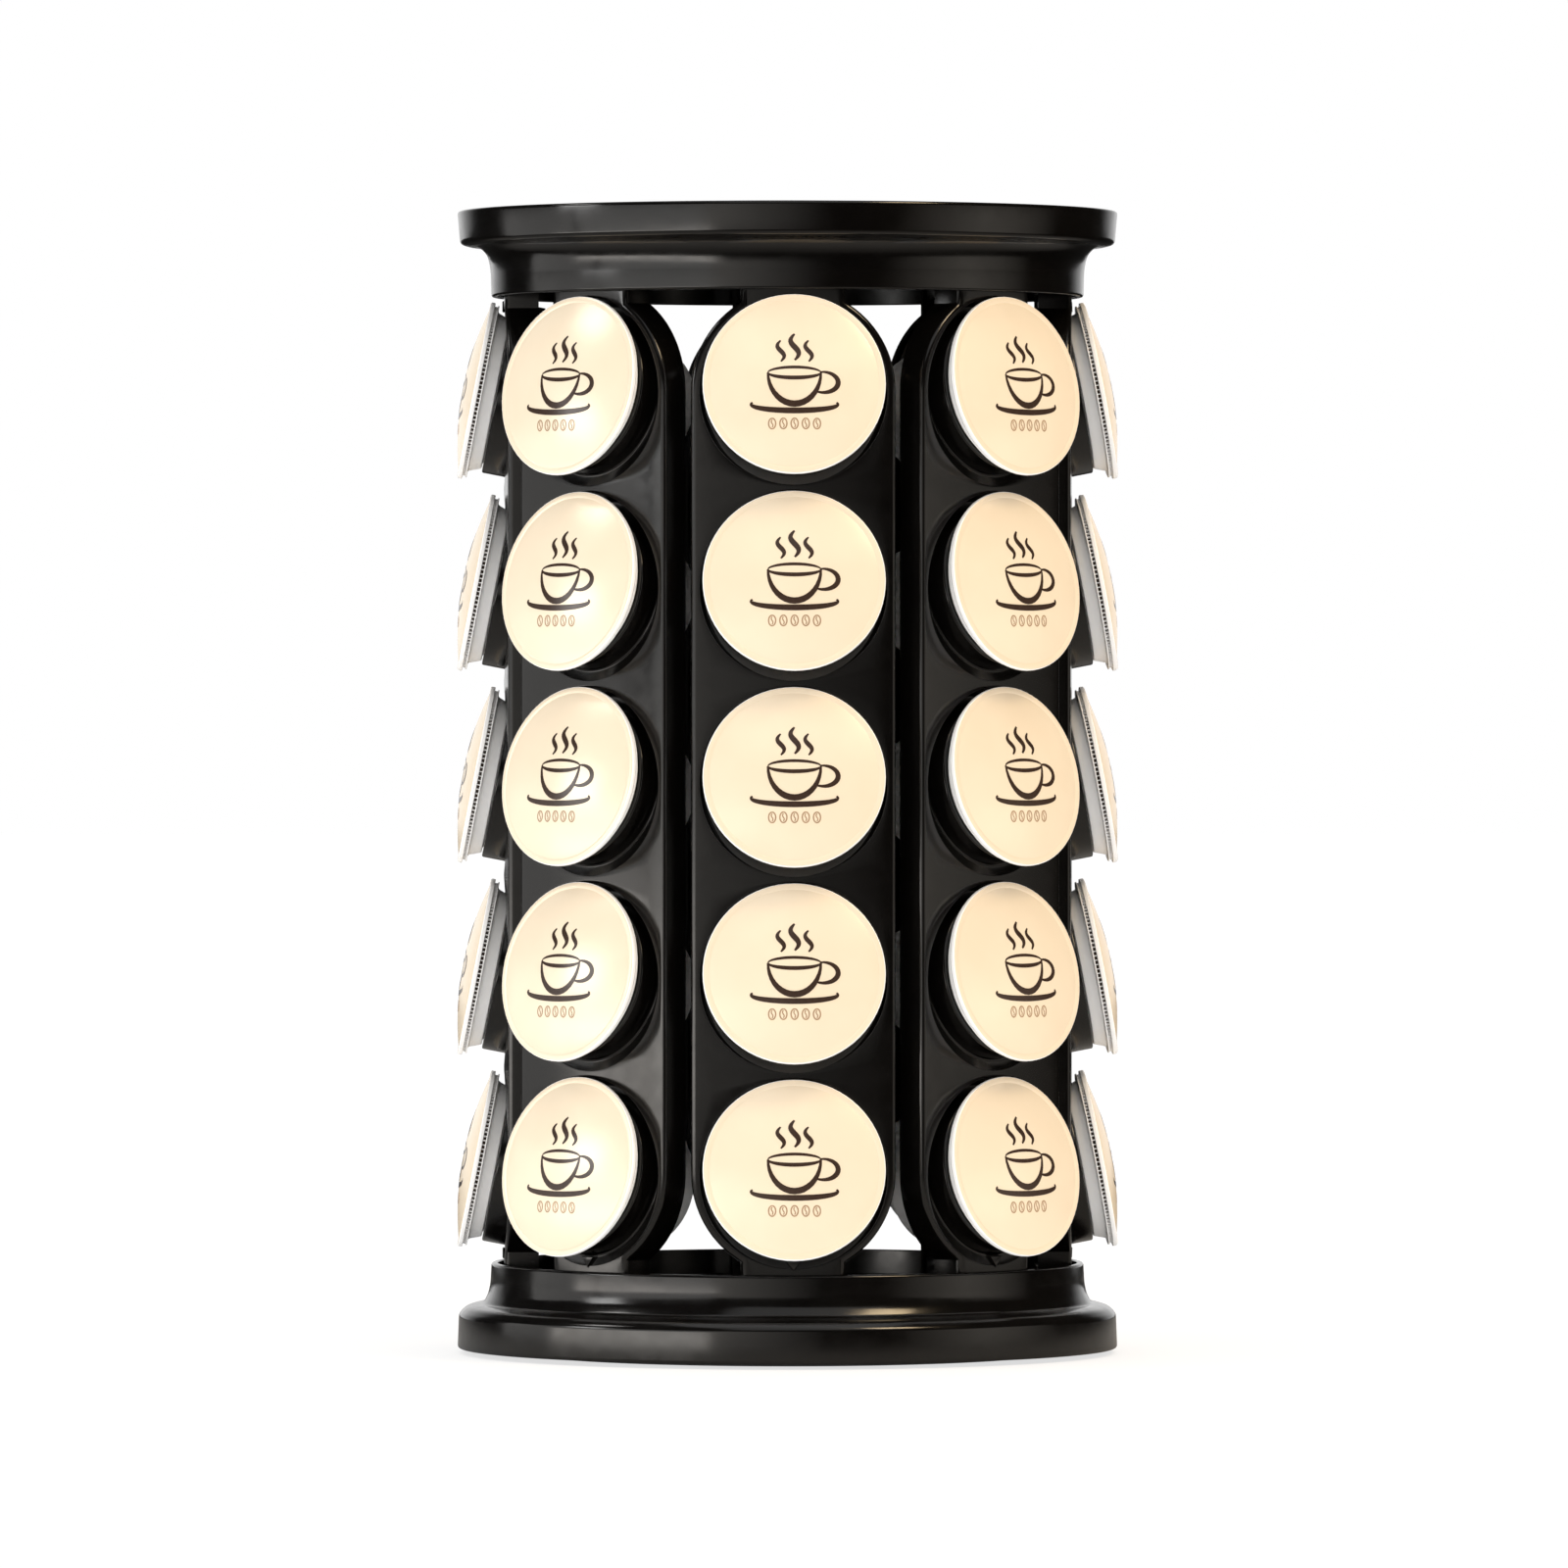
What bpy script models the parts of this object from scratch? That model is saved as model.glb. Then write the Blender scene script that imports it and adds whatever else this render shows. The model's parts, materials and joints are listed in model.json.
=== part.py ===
"""Rotating coffee capsule tower.

Eight tray-shaped panels with tilted pockets stand between two turned end rings.  The tower turns on a
ball turntable in the hollow of the base ring, and every pocket holds a sealed capsule.

Lengths are in metres and +Z is up.  The origin is on the table, on the tower's turning axis.
Panel 1 faces -Y, and row 1 is the lowest row.
"""
from math import asin, cos, hypot, pi, radians, sin, tan

import bmesh
import bpy
from mathutils import Euler, Matrix, Vector

# Counts and tilt
panel_count = 8
row_count = 5
lean = radians(11.0)                # upward tilt of each pocket's axis
screw_count = 4
ball_count = 8

# Facets round each kind of turned piece
capsule_facets = 12
pocket_facets = 12
ring_facets = 32
race_facets = 24
screw_facets = 8
pivot_facets = 8
ball_facets = 8
ball_bands = 4
end_arc_steps = 4                   # chords on each quarter of a panel's rounded end
corner_steps = 2                    # chords on each rounded corner of the ring moulding

# Capsule
capsule_rim_radius = 0.0270
capsule_rim_thickness = 0.0014
foil_rise = 0.0035
foil_band_share = 0.62              # radius of the dome's inner ring of points, as a share of the rim
cup_body_radius = 0.0209
cup_foot_radius = 0.0180
cup_length = 0.0360
shoulder_depth = 0.0059             # from the rim's middle plane back to the shoulder that seats
shoulder_width = 0.0012             # how far the shoulder overlaps the collar's rim

# Clearances
seat_gap = 0.0003                   # between pieces that rest on each other
bore_clearance = 0.0007             # between the cup and its bore, all round
tab_play = 0.0005                   # between a tab's corners and the skirt round it
panel_clearance = 0.0009            # from a panel's back edge to the plane between two panels
overrun = 0.0020                    # how far every cut runs past the face that it opens
weld_gap = 0.000002                 # points of one mesh this close together are one point

# Pocket
collar_wall = 0.0024
well_margin = 0.0005                # finger room round the capsule's rim
well_lip = 0.0002                   # depth of the well at its shallowest point
pocket_wall = 0.0014
row_land = 0.0019                   # flat left between two wells
side_land = 0.0027                  # flat left beside a well
lid_standoff = 0.0082               # how far the lid's centre stands in front of the panel's face

# Panel
panel_wall = 0.0018
panel_depth = 0.0105
panel_edge_bevel = 0.0010
tab_half_width = 0.01525
end_dip = 0.0005                    # how far a panel's rounded end dips behind the ring's edge

# End ring moulding
skirt_wall = 0.0019
skirt_corner = 0.0012
neck_draft = 0.0011                 # how much the neck widens towards the cove
cove_width = 0.0016
cove_height = 0.0018
ledge_rise = 0.0015
flange_overhang = 0.01025
flange_corner = 0.0020
flange_foot_bevel = 0.0005
flange_height = 0.0115
ring_wall = 0.0022
deck_thickness = 0.0020
socket_depth = 0.0078               # from the deck to the skirt's edge
key_tip_gap = 0.0010                # a key's tip stays this far below the skirt's edge

# Turntable
flange_gap = 0.0015                 # under the base ring's flange
foot_disc_thickness = 0.0045
foot_disc_margin = 0.0034           # from the foot disc's edge to the skirt's inner radius
foot_ring_width = 0.0080
foot_ring_margin = 0.0040           # from the rubber ring to the foot disc's edge
foot_recess = 0.0015
plate_thickness = 0.0012
plate_radius = 0.0600
race_radius = 0.0500
groove_floor_half = 0.0012
groove_mouth_half = 0.0024
ridge_height = 0.0010
ridge_crown = 0.0014
ridge_slope = 0.0008
ball_radius = 0.0025
cage_half_width = 0.0038
cage_half_height = 0.0010
boss_height = 0.0029
boss_radius = 0.0036
pivot_radius = 0.0030
pivot_collar_radius = 0.0050
pivot_head_radius = 0.0065
pivot_head_thickness = 0.0011
screw_radius = 0.0012
screw_head_radius = 0.0024
screw_head_height = 0.0014
screw_tip_gap = 0.0008              # solid left past the end of a screw's hole
screw_circle = 0.0270

# Sizes that follow from the ones above
bore_radius = cup_body_radius + bore_clearance
cup_neck_radius = bore_radius + shoulder_width
collar_radius = bore_radius + collar_wall
collar_top = -(shoulder_depth + seat_gap)
well_radius = capsule_rim_radius + well_margin
floor_level = -(lid_standoff + well_radius * sin(lean)) / cos(lean) - well_lip
floor_back = floor_level - panel_wall
row_pitch = 2 * well_radius / cos(lean) + row_land
panel_half_width = well_radius + side_land
panel_turn = 2 * pi / panel_count
back_apothem = (panel_half_width + panel_clearance) / tan(panel_turn / 2)
face_apothem = back_apothem + panel_depth
skirt_radius = hypot(face_apothem, tab_half_width) + tab_play
neck_radius = skirt_radius + skirt_wall
flange_radius = neck_radius + flange_overhang

foot_disc_bottom = flange_gap
foot_disc_top = foot_disc_bottom + foot_disc_thickness
foot_disc_radius = skirt_radius - foot_disc_margin
foot_ring_outer = foot_disc_radius - foot_ring_margin
foot_ring_inner = foot_ring_outer - foot_ring_width
recess_ceiling = foot_disc_bottom + foot_recess
lower_plate_bottom = foot_disc_top + seat_gap
lower_plate_top = lower_plate_bottom + plate_thickness
ball_height = lower_plate_top + seat_gap + ball_radius
upper_plate_bottom = ball_height + ball_radius + seat_gap
upper_plate_top = upper_plate_bottom + plate_thickness
boss_bottom = upper_plate_top + seat_gap
deck_bottom = boss_bottom + boss_height
deck_top = deck_bottom + deck_thickness
ring_height = deck_top + socket_depth - flange_gap
base_edge = flange_gap + ring_height
first_row_height = base_edge + panel_half_width - end_dip
last_row_height = first_row_height + (row_count - 1) * row_pitch
middle_height = (first_row_height + last_row_height) / 2
tab_bottom = deck_top + seat_gap
tab_top = 2 * middle_height - tab_bottom
pivot_hole = pivot_radius + seat_gap
screw_hole = screw_radius + seat_gap


def clear_scene():
    for thing in list(bpy.data.objects):
        bpy.data.objects.remove(thing)


def plastic(name, colour, roughness, metallic=0.0):
    """A plain Principled material."""
    material = bpy.data.materials.new(name)
    material.use_nodes = True
    shader = material.node_tree.nodes["Principled BSDF"]
    shader.inputs["Base Color"].default_value = (*colour, 1.0)
    shader.inputs["Roughness"].default_value = roughness
    shader.inputs["Metallic"].default_value = metallic
    material.diffuse_color = (*colour, 1.0)
    return material


def mesh_from(bm, name):
    """Turn a bmesh into a mesh whose faces point out and whose round sides shade smooth."""
    bmesh.ops.recalc_face_normals(bm, faces=bm.faces[:])
    mesh = bpy.data.meshes.new(name)
    bm.to_mesh(mesh)
    bm.free()
    mesh.shade_smooth()
    mesh.set_sharp_from_angle(angle=radians(35))
    return mesh


def place(name, mesh, material=None, parent=None):
    """Put a mesh in the scene as a named object."""
    thing = bpy.data.objects.new(name, mesh)
    bpy.context.scene.collection.objects.link(thing)
    if material and not mesh.materials:
        mesh.materials.append(material)
    thing.parent = parent
    return thing


def turned_mesh(name, profile, facets):
    """Spin a profile of (radius, height) points about +Z; the profile closes on itself."""
    bm = bmesh.new()
    verts = [bm.verts.new((radius, 0, height)) for radius, height in profile]
    pairs = zip(verts, verts[1:] + verts[:1])
    edges = [bm.edges.new(pair) for pair in pairs if pair[0].co.x > 0 or pair[1].co.x > 0]
    bmesh.ops.spin(bm, geom=verts + edges, cent=(0, 0, 0), axis=(0, 0, 1), angle=2 * pi, steps=facets,
                   use_merge=True)
    bmesh.ops.remove_doubles(bm, verts=bm.verts[:], dist=weld_gap)
    return mesh_from(bm, name)


def turned(name, profile, facets, material, parent):
    return place(name, turned_mesh(name, profile, facets), material, parent)


def cylinders(name, radius, bottom, top, frames, facets):
    """One object with a closed cylinder along +Z of each frame, from bottom to top."""
    bm = bmesh.new()
    middle = Matrix.Translation((0, 0, (bottom + top) / 2))
    for frame in frames:
        bmesh.ops.create_cone(bm, cap_ends=True, segments=facets, radius1=radius, radius2=radius,
                              depth=top - bottom, matrix=frame @ middle)
    return place(name, mesh_from(bm, name))


def ring_of_frames(count, circle):
    """Upright frames spaced evenly on a circle about the tower's axis."""
    turns = [2 * pi * index / count for index in range(count)]
    return [Matrix.Rotation(turn, 4, "Z") @ Matrix.Translation((circle, 0, 0)) for turn in turns]


def boolean(target, tool, operation):
    """Join a tool to the target or cut it out; the tool itself is left out of the model."""
    tool.hide_render = True
    tool.display_type = "WIRE"
    step = target.modifiers.new(tool.name, "BOOLEAN")
    step.operation = operation
    step.solver = "EXACT"
    step.object = tool


def joined(target, tool):
    boolean(target, tool, "UNION")


def cut(target, tool):
    boolean(target, tool, "DIFFERENCE")


def baked(target):
    """Apply the target's Booleans, so that copies can share the finished mesh."""
    bpy.context.view_layer.update()
    graph = bpy.context.evaluated_depsgraph_get()
    mesh = bpy.data.meshes.new_from_object(target.evaluated_get(graph))
    tools = [step.object for step in target.modifiers]
    for thing in tools + [target]:
        bpy.data.objects.remove(thing)
    bm = bmesh.new()
    bm.from_mesh(mesh)
    bmesh.ops.remove_doubles(bm, verts=bm.verts[:], dist=weld_gap)
    return mesh_from(bm, mesh.name)


def arc(centre, radius, first, last, steps):
    """Points on an arc of (radius, height), from the first angle to the last, in degrees."""
    angles = [radians(first + (last - first) * step / steps) for step in range(steps + 1)]
    return [(centre[0] + radius * cos(angle), centre[1] + radius * sin(angle)) for angle in angles]


def capsule_mesh(material):
    """A sealed capsule about its own axis: +Z runs out of the pocket, and the rim is at zero height."""
    half_rim = capsule_rim_thickness / 2
    profile = [
        (0, half_rim + foil_rise),
        (capsule_rim_radius * foil_band_share, half_rim + foil_rise * (1 - foil_band_share ** 2)),
        (capsule_rim_radius, half_rim),
        (capsule_rim_radius, -half_rim),
        (cup_neck_radius, -half_rim),
        (cup_neck_radius, -shoulder_depth),
        (cup_body_radius, -shoulder_depth),
        (cup_foot_radius, -cup_length),
        (0, -cup_length),
    ]
    mesh = turned_mesh("capsule", profile, capsule_facets)
    mesh.materials.append(material)
    return mesh


def pocket_frame(row):
    """A pocket's frame on panel 1: origin at the lid's centre, +Z out along the pull, +Y up the lid."""
    height = first_row_height + (row - 1) * row_pitch + lid_standoff * tan(lean)
    centre = Vector((0, -(face_apothem + lid_standoff), height))
    return Matrix.Translation(centre) @ Euler((pi / 2 - lean, 0, 0)).to_matrix().to_4x4()


def panel_outline(inset, tab_overrun=0.0):
    """The panel's front outline as (across, height): rounded ends on the outer rows, and two tabs."""
    radius = panel_half_width - inset
    tab_half = tab_half_width - inset
    first = asin(tab_half / radius)
    turns = [first + (pi / 2 - first) * step / end_arc_steps for step in range(end_arc_steps + 1)]
    upper = [(tab_half, tab_top + tab_overrun)]
    upper += [(radius * sin(turn), last_row_height + radius * cos(turn)) for turn in turns]
    lower = [(across, 2 * middle_height - height) for across, height in reversed(upper)]
    right = upper + lower
    return right + [(-across, height) for across, height in reversed(right)]


def lofted(name, layers):
    """A closed solid through outlines of the same point count, each at its own depth from the axis."""
    bm = bmesh.new()
    loops = []
    for apothem, outline in layers:
        loops.append([bm.verts.new((across, -apothem, height)) for across, height in outline])
    for near, far in zip(loops, loops[1:]):
        for index, vert in enumerate(near):
            after = (index + 1) % len(near)
            bm.faces.new((vert, near[after], far[after], far[index]))
    bm.faces.new(loops[0])
    bm.faces.new(loops[-1])
    return place(name, mesh_from(bm, name))


def pocket_cups(name, rows):
    """The cups behind the wells of some rows, sliced off halfway through the face plate."""
    cups = cylinders(name, well_radius + pocket_wall, floor_back, 0, [pocket_frame(row) for row in rows],
                     pocket_facets)
    bm = bmesh.new()
    bm.from_mesh(cups.data)
    slice_plane = Vector((0, -(face_apothem - panel_wall / 2), 0))
    bmesh.ops.bisect_plane(bm, geom=bm.verts[:] + bm.edges[:] + bm.faces[:], plane_co=slice_plane,
                           plane_no=(0, -1, 0), clear_outer=True)
    bmesh.ops.holes_fill(bm, edges=[edge for edge in bm.edges if edge.is_boundary])
    bpy.data.objects.remove(cups)
    return place(name, mesh_from(bm, name))


def panel_mesh(material):
    """Panel 1's mesh: a tray that is open at the back, with a well and a collar for each capsule."""
    rows = range(1, row_count + 1)
    frames = [pocket_frame(row) for row in rows]
    outer = panel_outline(0.0)
    panel = lofted("panel", [(face_apothem, panel_outline(panel_edge_bevel)),
                             (face_apothem - panel_edge_bevel, outer),
                             (back_apothem, outer)])
    hollow = panel_outline(panel_wall, overrun)
    cut(panel, lofted("tray_hollow", [(face_apothem - panel_wall, hollow),
                                      (back_apothem - overrun, hollow)]))
    joined(panel, pocket_cups("odd_cups", rows[::2]))
    joined(panel, pocket_cups("even_cups", rows[1::2]))
    cut(panel, cylinders("wells", well_radius, floor_level, overrun, frames, pocket_facets))
    joined(panel, cylinders("collars", collar_radius, (floor_level + floor_back) / 2, collar_top, frames,
                            pocket_facets))
    cut(panel, cylinders("bores", bore_radius, floor_back - overrun, overrun, frames, pocket_facets))
    mesh = baked(panel)
    mesh.materials.clear()
    mesh.materials.append(material)
    return mesh


def ring_profile():
    """The end ring's section, flange down, as (radius, height above the flange's lower edge)."""
    neck_foot = neck_radius + neck_draft
    ledge_top = flange_height + ledge_rise
    outer = [(flange_radius - flange_foot_bevel, 0), (flange_radius, flange_foot_bevel)]
    outer += arc((flange_radius - flange_corner, flange_height - flange_corner), flange_corner, 0, 90,
                 corner_steps)
    outer += [(neck_foot + cove_width, ledge_top), (neck_foot, ledge_top + cove_height)]
    outer += arc((neck_radius - skirt_corner, ring_height - skirt_corner), skirt_corner, 0, 90,
                 corner_steps)
    deck = deck_top - flange_gap
    inner = [
        (skirt_radius, ring_height),
        (skirt_radius, deck),
        (0, deck),
        (0, deck - deck_thickness),
        (neck_foot - ring_wall - neck_draft, deck - deck_thickness),
        (neck_foot - ring_wall, ledge_top + cove_height - ring_wall),
        (flange_radius - ring_wall, flange_height - ring_wall),
        (flange_radius - ring_wall, 0),
    ]
    return outer + inner


def keys(name, bottom, top):
    """Blocks on the deck, one inside each tab's channel."""
    half_width = tab_half_width - panel_wall - seat_gap
    far = face_apothem - panel_wall - seat_gap
    bm = bmesh.new()
    size = Vector((2 * half_width, far - back_apothem, top - bottom))
    for index in range(panel_count):
        spot = Matrix.Translation((0, -(far + back_apothem) / 2, (bottom + top) / 2))
        turn = Matrix.Rotation(index * panel_turn, 4, "Z")
        bmesh.ops.create_cube(bm, size=1.0, matrix=turn @ spot @ Matrix.Diagonal((*size, 1)))
    return place(name, mesh_from(bm, name))


def base_ring(material, parent):
    profile = [(radius, flange_gap + height) for radius, height in ring_profile()]
    ring = turned("base_ring", profile, ring_facets, material, parent)
    joined(ring, keys("base_keys", deck_bottom + deck_thickness / 2, base_edge - key_tip_gap))
    bosses = ring_of_frames(screw_count, screw_circle)
    joined(ring, cylinders("bosses", boss_radius, boss_bottom, deck_bottom + deck_thickness / 2, bosses,
                           screw_facets))
    cut(ring, cylinders("boss_holes", screw_hole, boss_bottom - overrun, deck_top - screw_tip_gap, bosses,
                        screw_facets))


def top_ring(material, parent):
    """The base ring's section turned over, so that its hollow is a shallow tray."""
    profile = [(radius, 2 * middle_height - flange_gap - height) for radius, height in ring_profile()]
    ring = turned("top_ring", profile, ring_facets, material, parent)
    deck = 2 * middle_height - deck_bottom - deck_thickness / 2
    joined(ring, keys("top_keys", 2 * middle_height - base_edge + key_tip_gap, deck))


def race_profile(flat, race):
    """A pressed plate's section: a flat side, and a race side with two ridges beside the ball groove."""
    rise = ridge_height if race > flat else -ridge_height
    offsets = [-(groove_mouth_half + ridge_crown + ridge_slope), -(groove_mouth_half + ridge_crown),
               -groove_mouth_half, -groove_floor_half]
    offsets += [-offset for offset in reversed(offsets)]
    rises = [0, rise, rise, 0]
    rises += rises[::-1]
    outline = [(pivot_hole, flat), (pivot_hole, race)]
    outline += [(race_radius + offset, race + step) for offset, step in zip(offsets, rises)]
    return outline + [(plate_radius, race), (plate_radius, flat)]


def upper_race_plate(material, parent):
    plate = turned("upper_race_plate", race_profile(upper_plate_top, upper_plate_bottom), race_facets,
                   material, parent)
    cut(plate, cylinders("plate_holes", screw_hole, upper_plate_bottom - overrun, upper_plate_top + overrun,
                         ring_of_frames(screw_count, screw_circle), screw_facets))


def race_screws(material, parent):
    """Pan-head screws that come up through the upper race plate into the bosses of the deck."""
    head_face = upper_plate_bottom - seat_gap
    tip = deck_top - screw_tip_gap - seat_gap
    profile = [(0, head_face - screw_head_height), (screw_head_radius, head_face - screw_head_height),
               (screw_head_radius, head_face), (screw_radius, head_face), (screw_radius, tip), (0, tip)]
    mesh = turned_mesh("race_screw", profile, screw_facets)
    mesh.materials.append(material)
    for index, frame in enumerate(ring_of_frames(screw_count, screw_circle), 1):
        place(f"race_screw_{index}", mesh, parent=parent).matrix_local = frame


def foot_disc(material, parent):
    """The still disc on the table, with an annular groove for the rubber ring underneath."""
    recess_radius = pivot_head_radius + seat_gap
    groove_inner = foot_ring_inner - seat_gap
    groove_outer = foot_ring_outer + seat_gap
    profile = [(pivot_hole, recess_ceiling), (recess_radius, recess_ceiling),
               (recess_radius, foot_disc_bottom), (groove_inner, foot_disc_bottom),
               (groove_inner, recess_ceiling), (groove_outer, recess_ceiling),
               (groove_outer, foot_disc_bottom), (foot_disc_radius, foot_disc_bottom),
               (foot_disc_radius, foot_disc_top), (pivot_hole, foot_disc_top)]
    turned("foot_disc", profile, race_facets, material, parent)


def rubber_foot_ring(material, parent):
    top = recess_ceiling - seat_gap
    profile = [(foot_ring_inner, 0), (foot_ring_outer, 0), (foot_ring_outer, top), (foot_ring_inner, top)]
    turned("rubber_foot_ring", profile, race_facets, material, parent)


def centre_pivot(material, parent):
    """A riveted pivot: it clamps the lower race to the foot disc and keeps the upper race from lifting."""
    low_face = recess_ceiling - seat_gap
    collar_bottom = lower_plate_top + seat_gap
    collar_top_face = upper_plate_bottom - seat_gap
    high_face = upper_plate_top + seat_gap
    profile = [(0, low_face - pivot_head_thickness), (pivot_head_radius, low_face - pivot_head_thickness),
               (pivot_head_radius, low_face), (pivot_radius, low_face),
               (pivot_radius, collar_bottom), (pivot_collar_radius, collar_bottom),
               (pivot_collar_radius, collar_top_face), (pivot_radius, collar_top_face),
               (pivot_radius, high_face), (pivot_head_radius, high_face),
               (pivot_head_radius, high_face + pivot_head_thickness), (0, high_face + pivot_head_thickness)]
    turned("centre_pivot", profile, pivot_facets, material, parent)


def ball_ring(material, parent):
    """The cage with its balls, joined as one solid that rolls round between the races."""
    low, high = ball_height - cage_half_height, ball_height + cage_half_height
    near, far = race_radius - cage_half_width, race_radius + cage_half_width
    profile = [(near, low), (far, low), (far, high), (near, high)]
    cage = turned("ball_ring", profile, race_facets, material, parent)
    bm = bmesh.new()
    for frame in ring_of_frames(ball_count, race_radius):
        bmesh.ops.create_uvsphere(bm, u_segments=ball_facets, v_segments=ball_bands, radius=ball_radius,
                                  matrix=Matrix.Translation((0, 0, ball_height)) @ frame)
    joined(cage, place("balls", mesh_from(bm, "balls")))


def tower_panels_and_capsules(shell, capsule_plastic, tower):
    """Eight copies of the panel round the axis, each with a capsule in every pocket."""
    panel = panel_mesh(shell)
    capsule = capsule_mesh(capsule_plastic)
    for side in range(1, panel_count + 1):
        turn = Matrix.Rotation((side - 1) * panel_turn, 4, "Z")
        place(f"panel_{side}", panel, parent=tower).matrix_local = turn
        for row in range(1, row_count + 1):
            thing = place(f"capsule_{side}_{row}", capsule, parent=tower)
            thing.matrix_local = turn @ pocket_frame(row)


def build():
    clear_scene()
    black = plastic("black_gloss_plastic", (0.012, 0.010, 0.009), 0.22)
    cream = plastic("capsule_plastic", (0.86, 0.74, 0.55), 0.35)
    steel = plastic("bearing_steel", (0.62, 0.62, 0.63), 0.25, 1.0)
    rubber = plastic("foot_rubber", (0.03, 0.03, 0.03), 0.8)

    stand = place("stand", None)
    rollers = place("rollers", None)
    tower = place("tower", None)

    foot_disc(black, stand)
    rubber_foot_ring(rubber, stand)
    turned("lower_race_plate", race_profile(lower_plate_bottom, lower_plate_top), race_facets, steel, stand)
    centre_pivot(steel, stand)
    ball_ring(steel, rollers)
    upper_race_plate(steel, tower)
    race_screws(steel, tower)
    base_ring(black, tower)
    top_ring(black, tower)
    tower_panels_and_capsules(black, cream, tower)


build()
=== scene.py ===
# %% [markdown]
# A round tower for coffee capsules
#
# The real object is a tower of black glossy plastic about as tall as a bottle. Eight upright panels stand
# between two moulded rings, each panel has five tilted round pockets, and every pocket holds a sealed
# capsule: a white plastic cup under a domed, cream-coloured foil lid. The tower turns on a small ball
# turntable. The frame that is loaded first holds every piece at its true size as a plain faceted solid. This
# lesson puts the fine surface over those solids: smooth mouldings, foil, print, plastic, steel and rubber.

# %% Load the frame
import json
from math import asin, atan2, cos, hypot, pi, radians, sin, tan

import bmesh
import bpy
from mathutils import Matrix, Vector


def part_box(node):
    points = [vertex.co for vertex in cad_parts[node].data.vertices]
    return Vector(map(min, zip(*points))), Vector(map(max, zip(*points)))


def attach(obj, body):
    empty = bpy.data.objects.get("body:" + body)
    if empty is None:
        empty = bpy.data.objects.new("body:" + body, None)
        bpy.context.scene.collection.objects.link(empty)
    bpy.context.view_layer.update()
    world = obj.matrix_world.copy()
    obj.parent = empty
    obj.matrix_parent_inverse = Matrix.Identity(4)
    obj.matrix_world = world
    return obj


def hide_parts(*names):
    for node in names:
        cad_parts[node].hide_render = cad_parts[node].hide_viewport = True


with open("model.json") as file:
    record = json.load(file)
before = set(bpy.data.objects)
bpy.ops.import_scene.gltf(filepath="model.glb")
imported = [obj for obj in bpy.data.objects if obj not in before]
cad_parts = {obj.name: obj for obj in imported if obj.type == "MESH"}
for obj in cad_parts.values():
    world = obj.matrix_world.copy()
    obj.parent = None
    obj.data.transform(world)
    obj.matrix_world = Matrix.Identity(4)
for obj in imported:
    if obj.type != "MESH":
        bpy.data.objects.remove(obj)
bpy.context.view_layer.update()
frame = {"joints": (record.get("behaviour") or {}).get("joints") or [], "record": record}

mm = 0.001

# %% [markdown]
# Sizes that the frame already knows
#
# The panels, rings and capsules of the frame are measured, and every finer size below starts from these. A
# panel's back edges nearly touch those of its neighbours, so its width gives how far from the axis they
# stand, and its depth then gives its face. A capsule's rim is a circle that leans back by as much as the axis
# along which the capsule is pulled out, so the top of its box gives the height of its middle.

# %% Measure panels, rings and capsules
panel_count, row_count = 8, 5
panel_turn = 2 * pi / panel_count
panel_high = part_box("panel_1")[1]
panel_half_width = panel_high.x
panel_depth, panel_clearance = 10.5 * mm, 0.9 * mm
back_apothem = (panel_half_width + panel_clearance) / tan(panel_turn / 2)
face_apothem = back_apothem + panel_depth
base_low, base_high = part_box("base_ring")
top_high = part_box("top_ring")[1]
flange_radius = base_high.x
middle_height = (base_low.z + top_high.z) / 2
pull = next(joint for joint in frame["joints"] if joint["name"] == "capsule_1_1_pull")
lean = asin(pull["axis"][2])
rim_radius, rim_half = 27.0 * mm, 0.7 * mm
standoff = 8.2 * mm             # from the panel's face out to the middle of a lid


def lid_centre(row):
    """The middle of the rim of a capsule on panel 1."""
    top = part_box(f"capsule_1_{row}")[1].z
    return Vector((0, -face_apothem - standoff, top - rim_radius * cos(lean) - rim_half * sin(lean)))


centres = [lid_centre(row) for row in range(1, row_count + 1)]
row_heights = [centre.z - standoff * tan(lean) for centre in centres]
row_pitch = row_heights[1] - row_heights[0]
print("lean", round(lean / radians(1), 2), "face", round(face_apothem / mm, 2),
      "pitch", round(row_pitch / mm, 2))

# %% [markdown]
# Small helpers for pieces
#
# A finished piece sits at the origin with its place in its mesh, rides on one body of the frame, and takes
# the place of a plain solid. One helper does all of that, so no piece can miss a step. Others turn what a
# node tree makes into a plain mesh, close its seams and turn its faces outwards.

# %% Place, convert and clean
def thing_of(name, data):
    """A new object in the scene."""
    thing = bpy.data.objects.new(name, data)
    bpy.context.scene.collection.objects.link(thing)
    return thing


def show(name, mesh, body, slot, *stands_for):
    """Put a finished mesh in the scene as a piece of the object."""
    mesh.name = name
    thing = thing_of(name, mesh)
    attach(thing, body)
    if stands_for:
        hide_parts(*stands_for)


def mesh_of(name, bm, *finishes):
    """The mesh that a bmesh holds, with its finishes."""
    mesh = bpy.data.meshes.new(name)
    bm.to_mesh(mesh)
    bm.free()
    for finish in finishes:
        mesh.materials.append(finish)
    return mesh


def sockets_of(tree):
    """A tree's named inputs and the identifiers of their sockets."""
    return {item.name: item.identifier for item in tree.interface.items_tree if item.in_out == "INPUT"}


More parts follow.
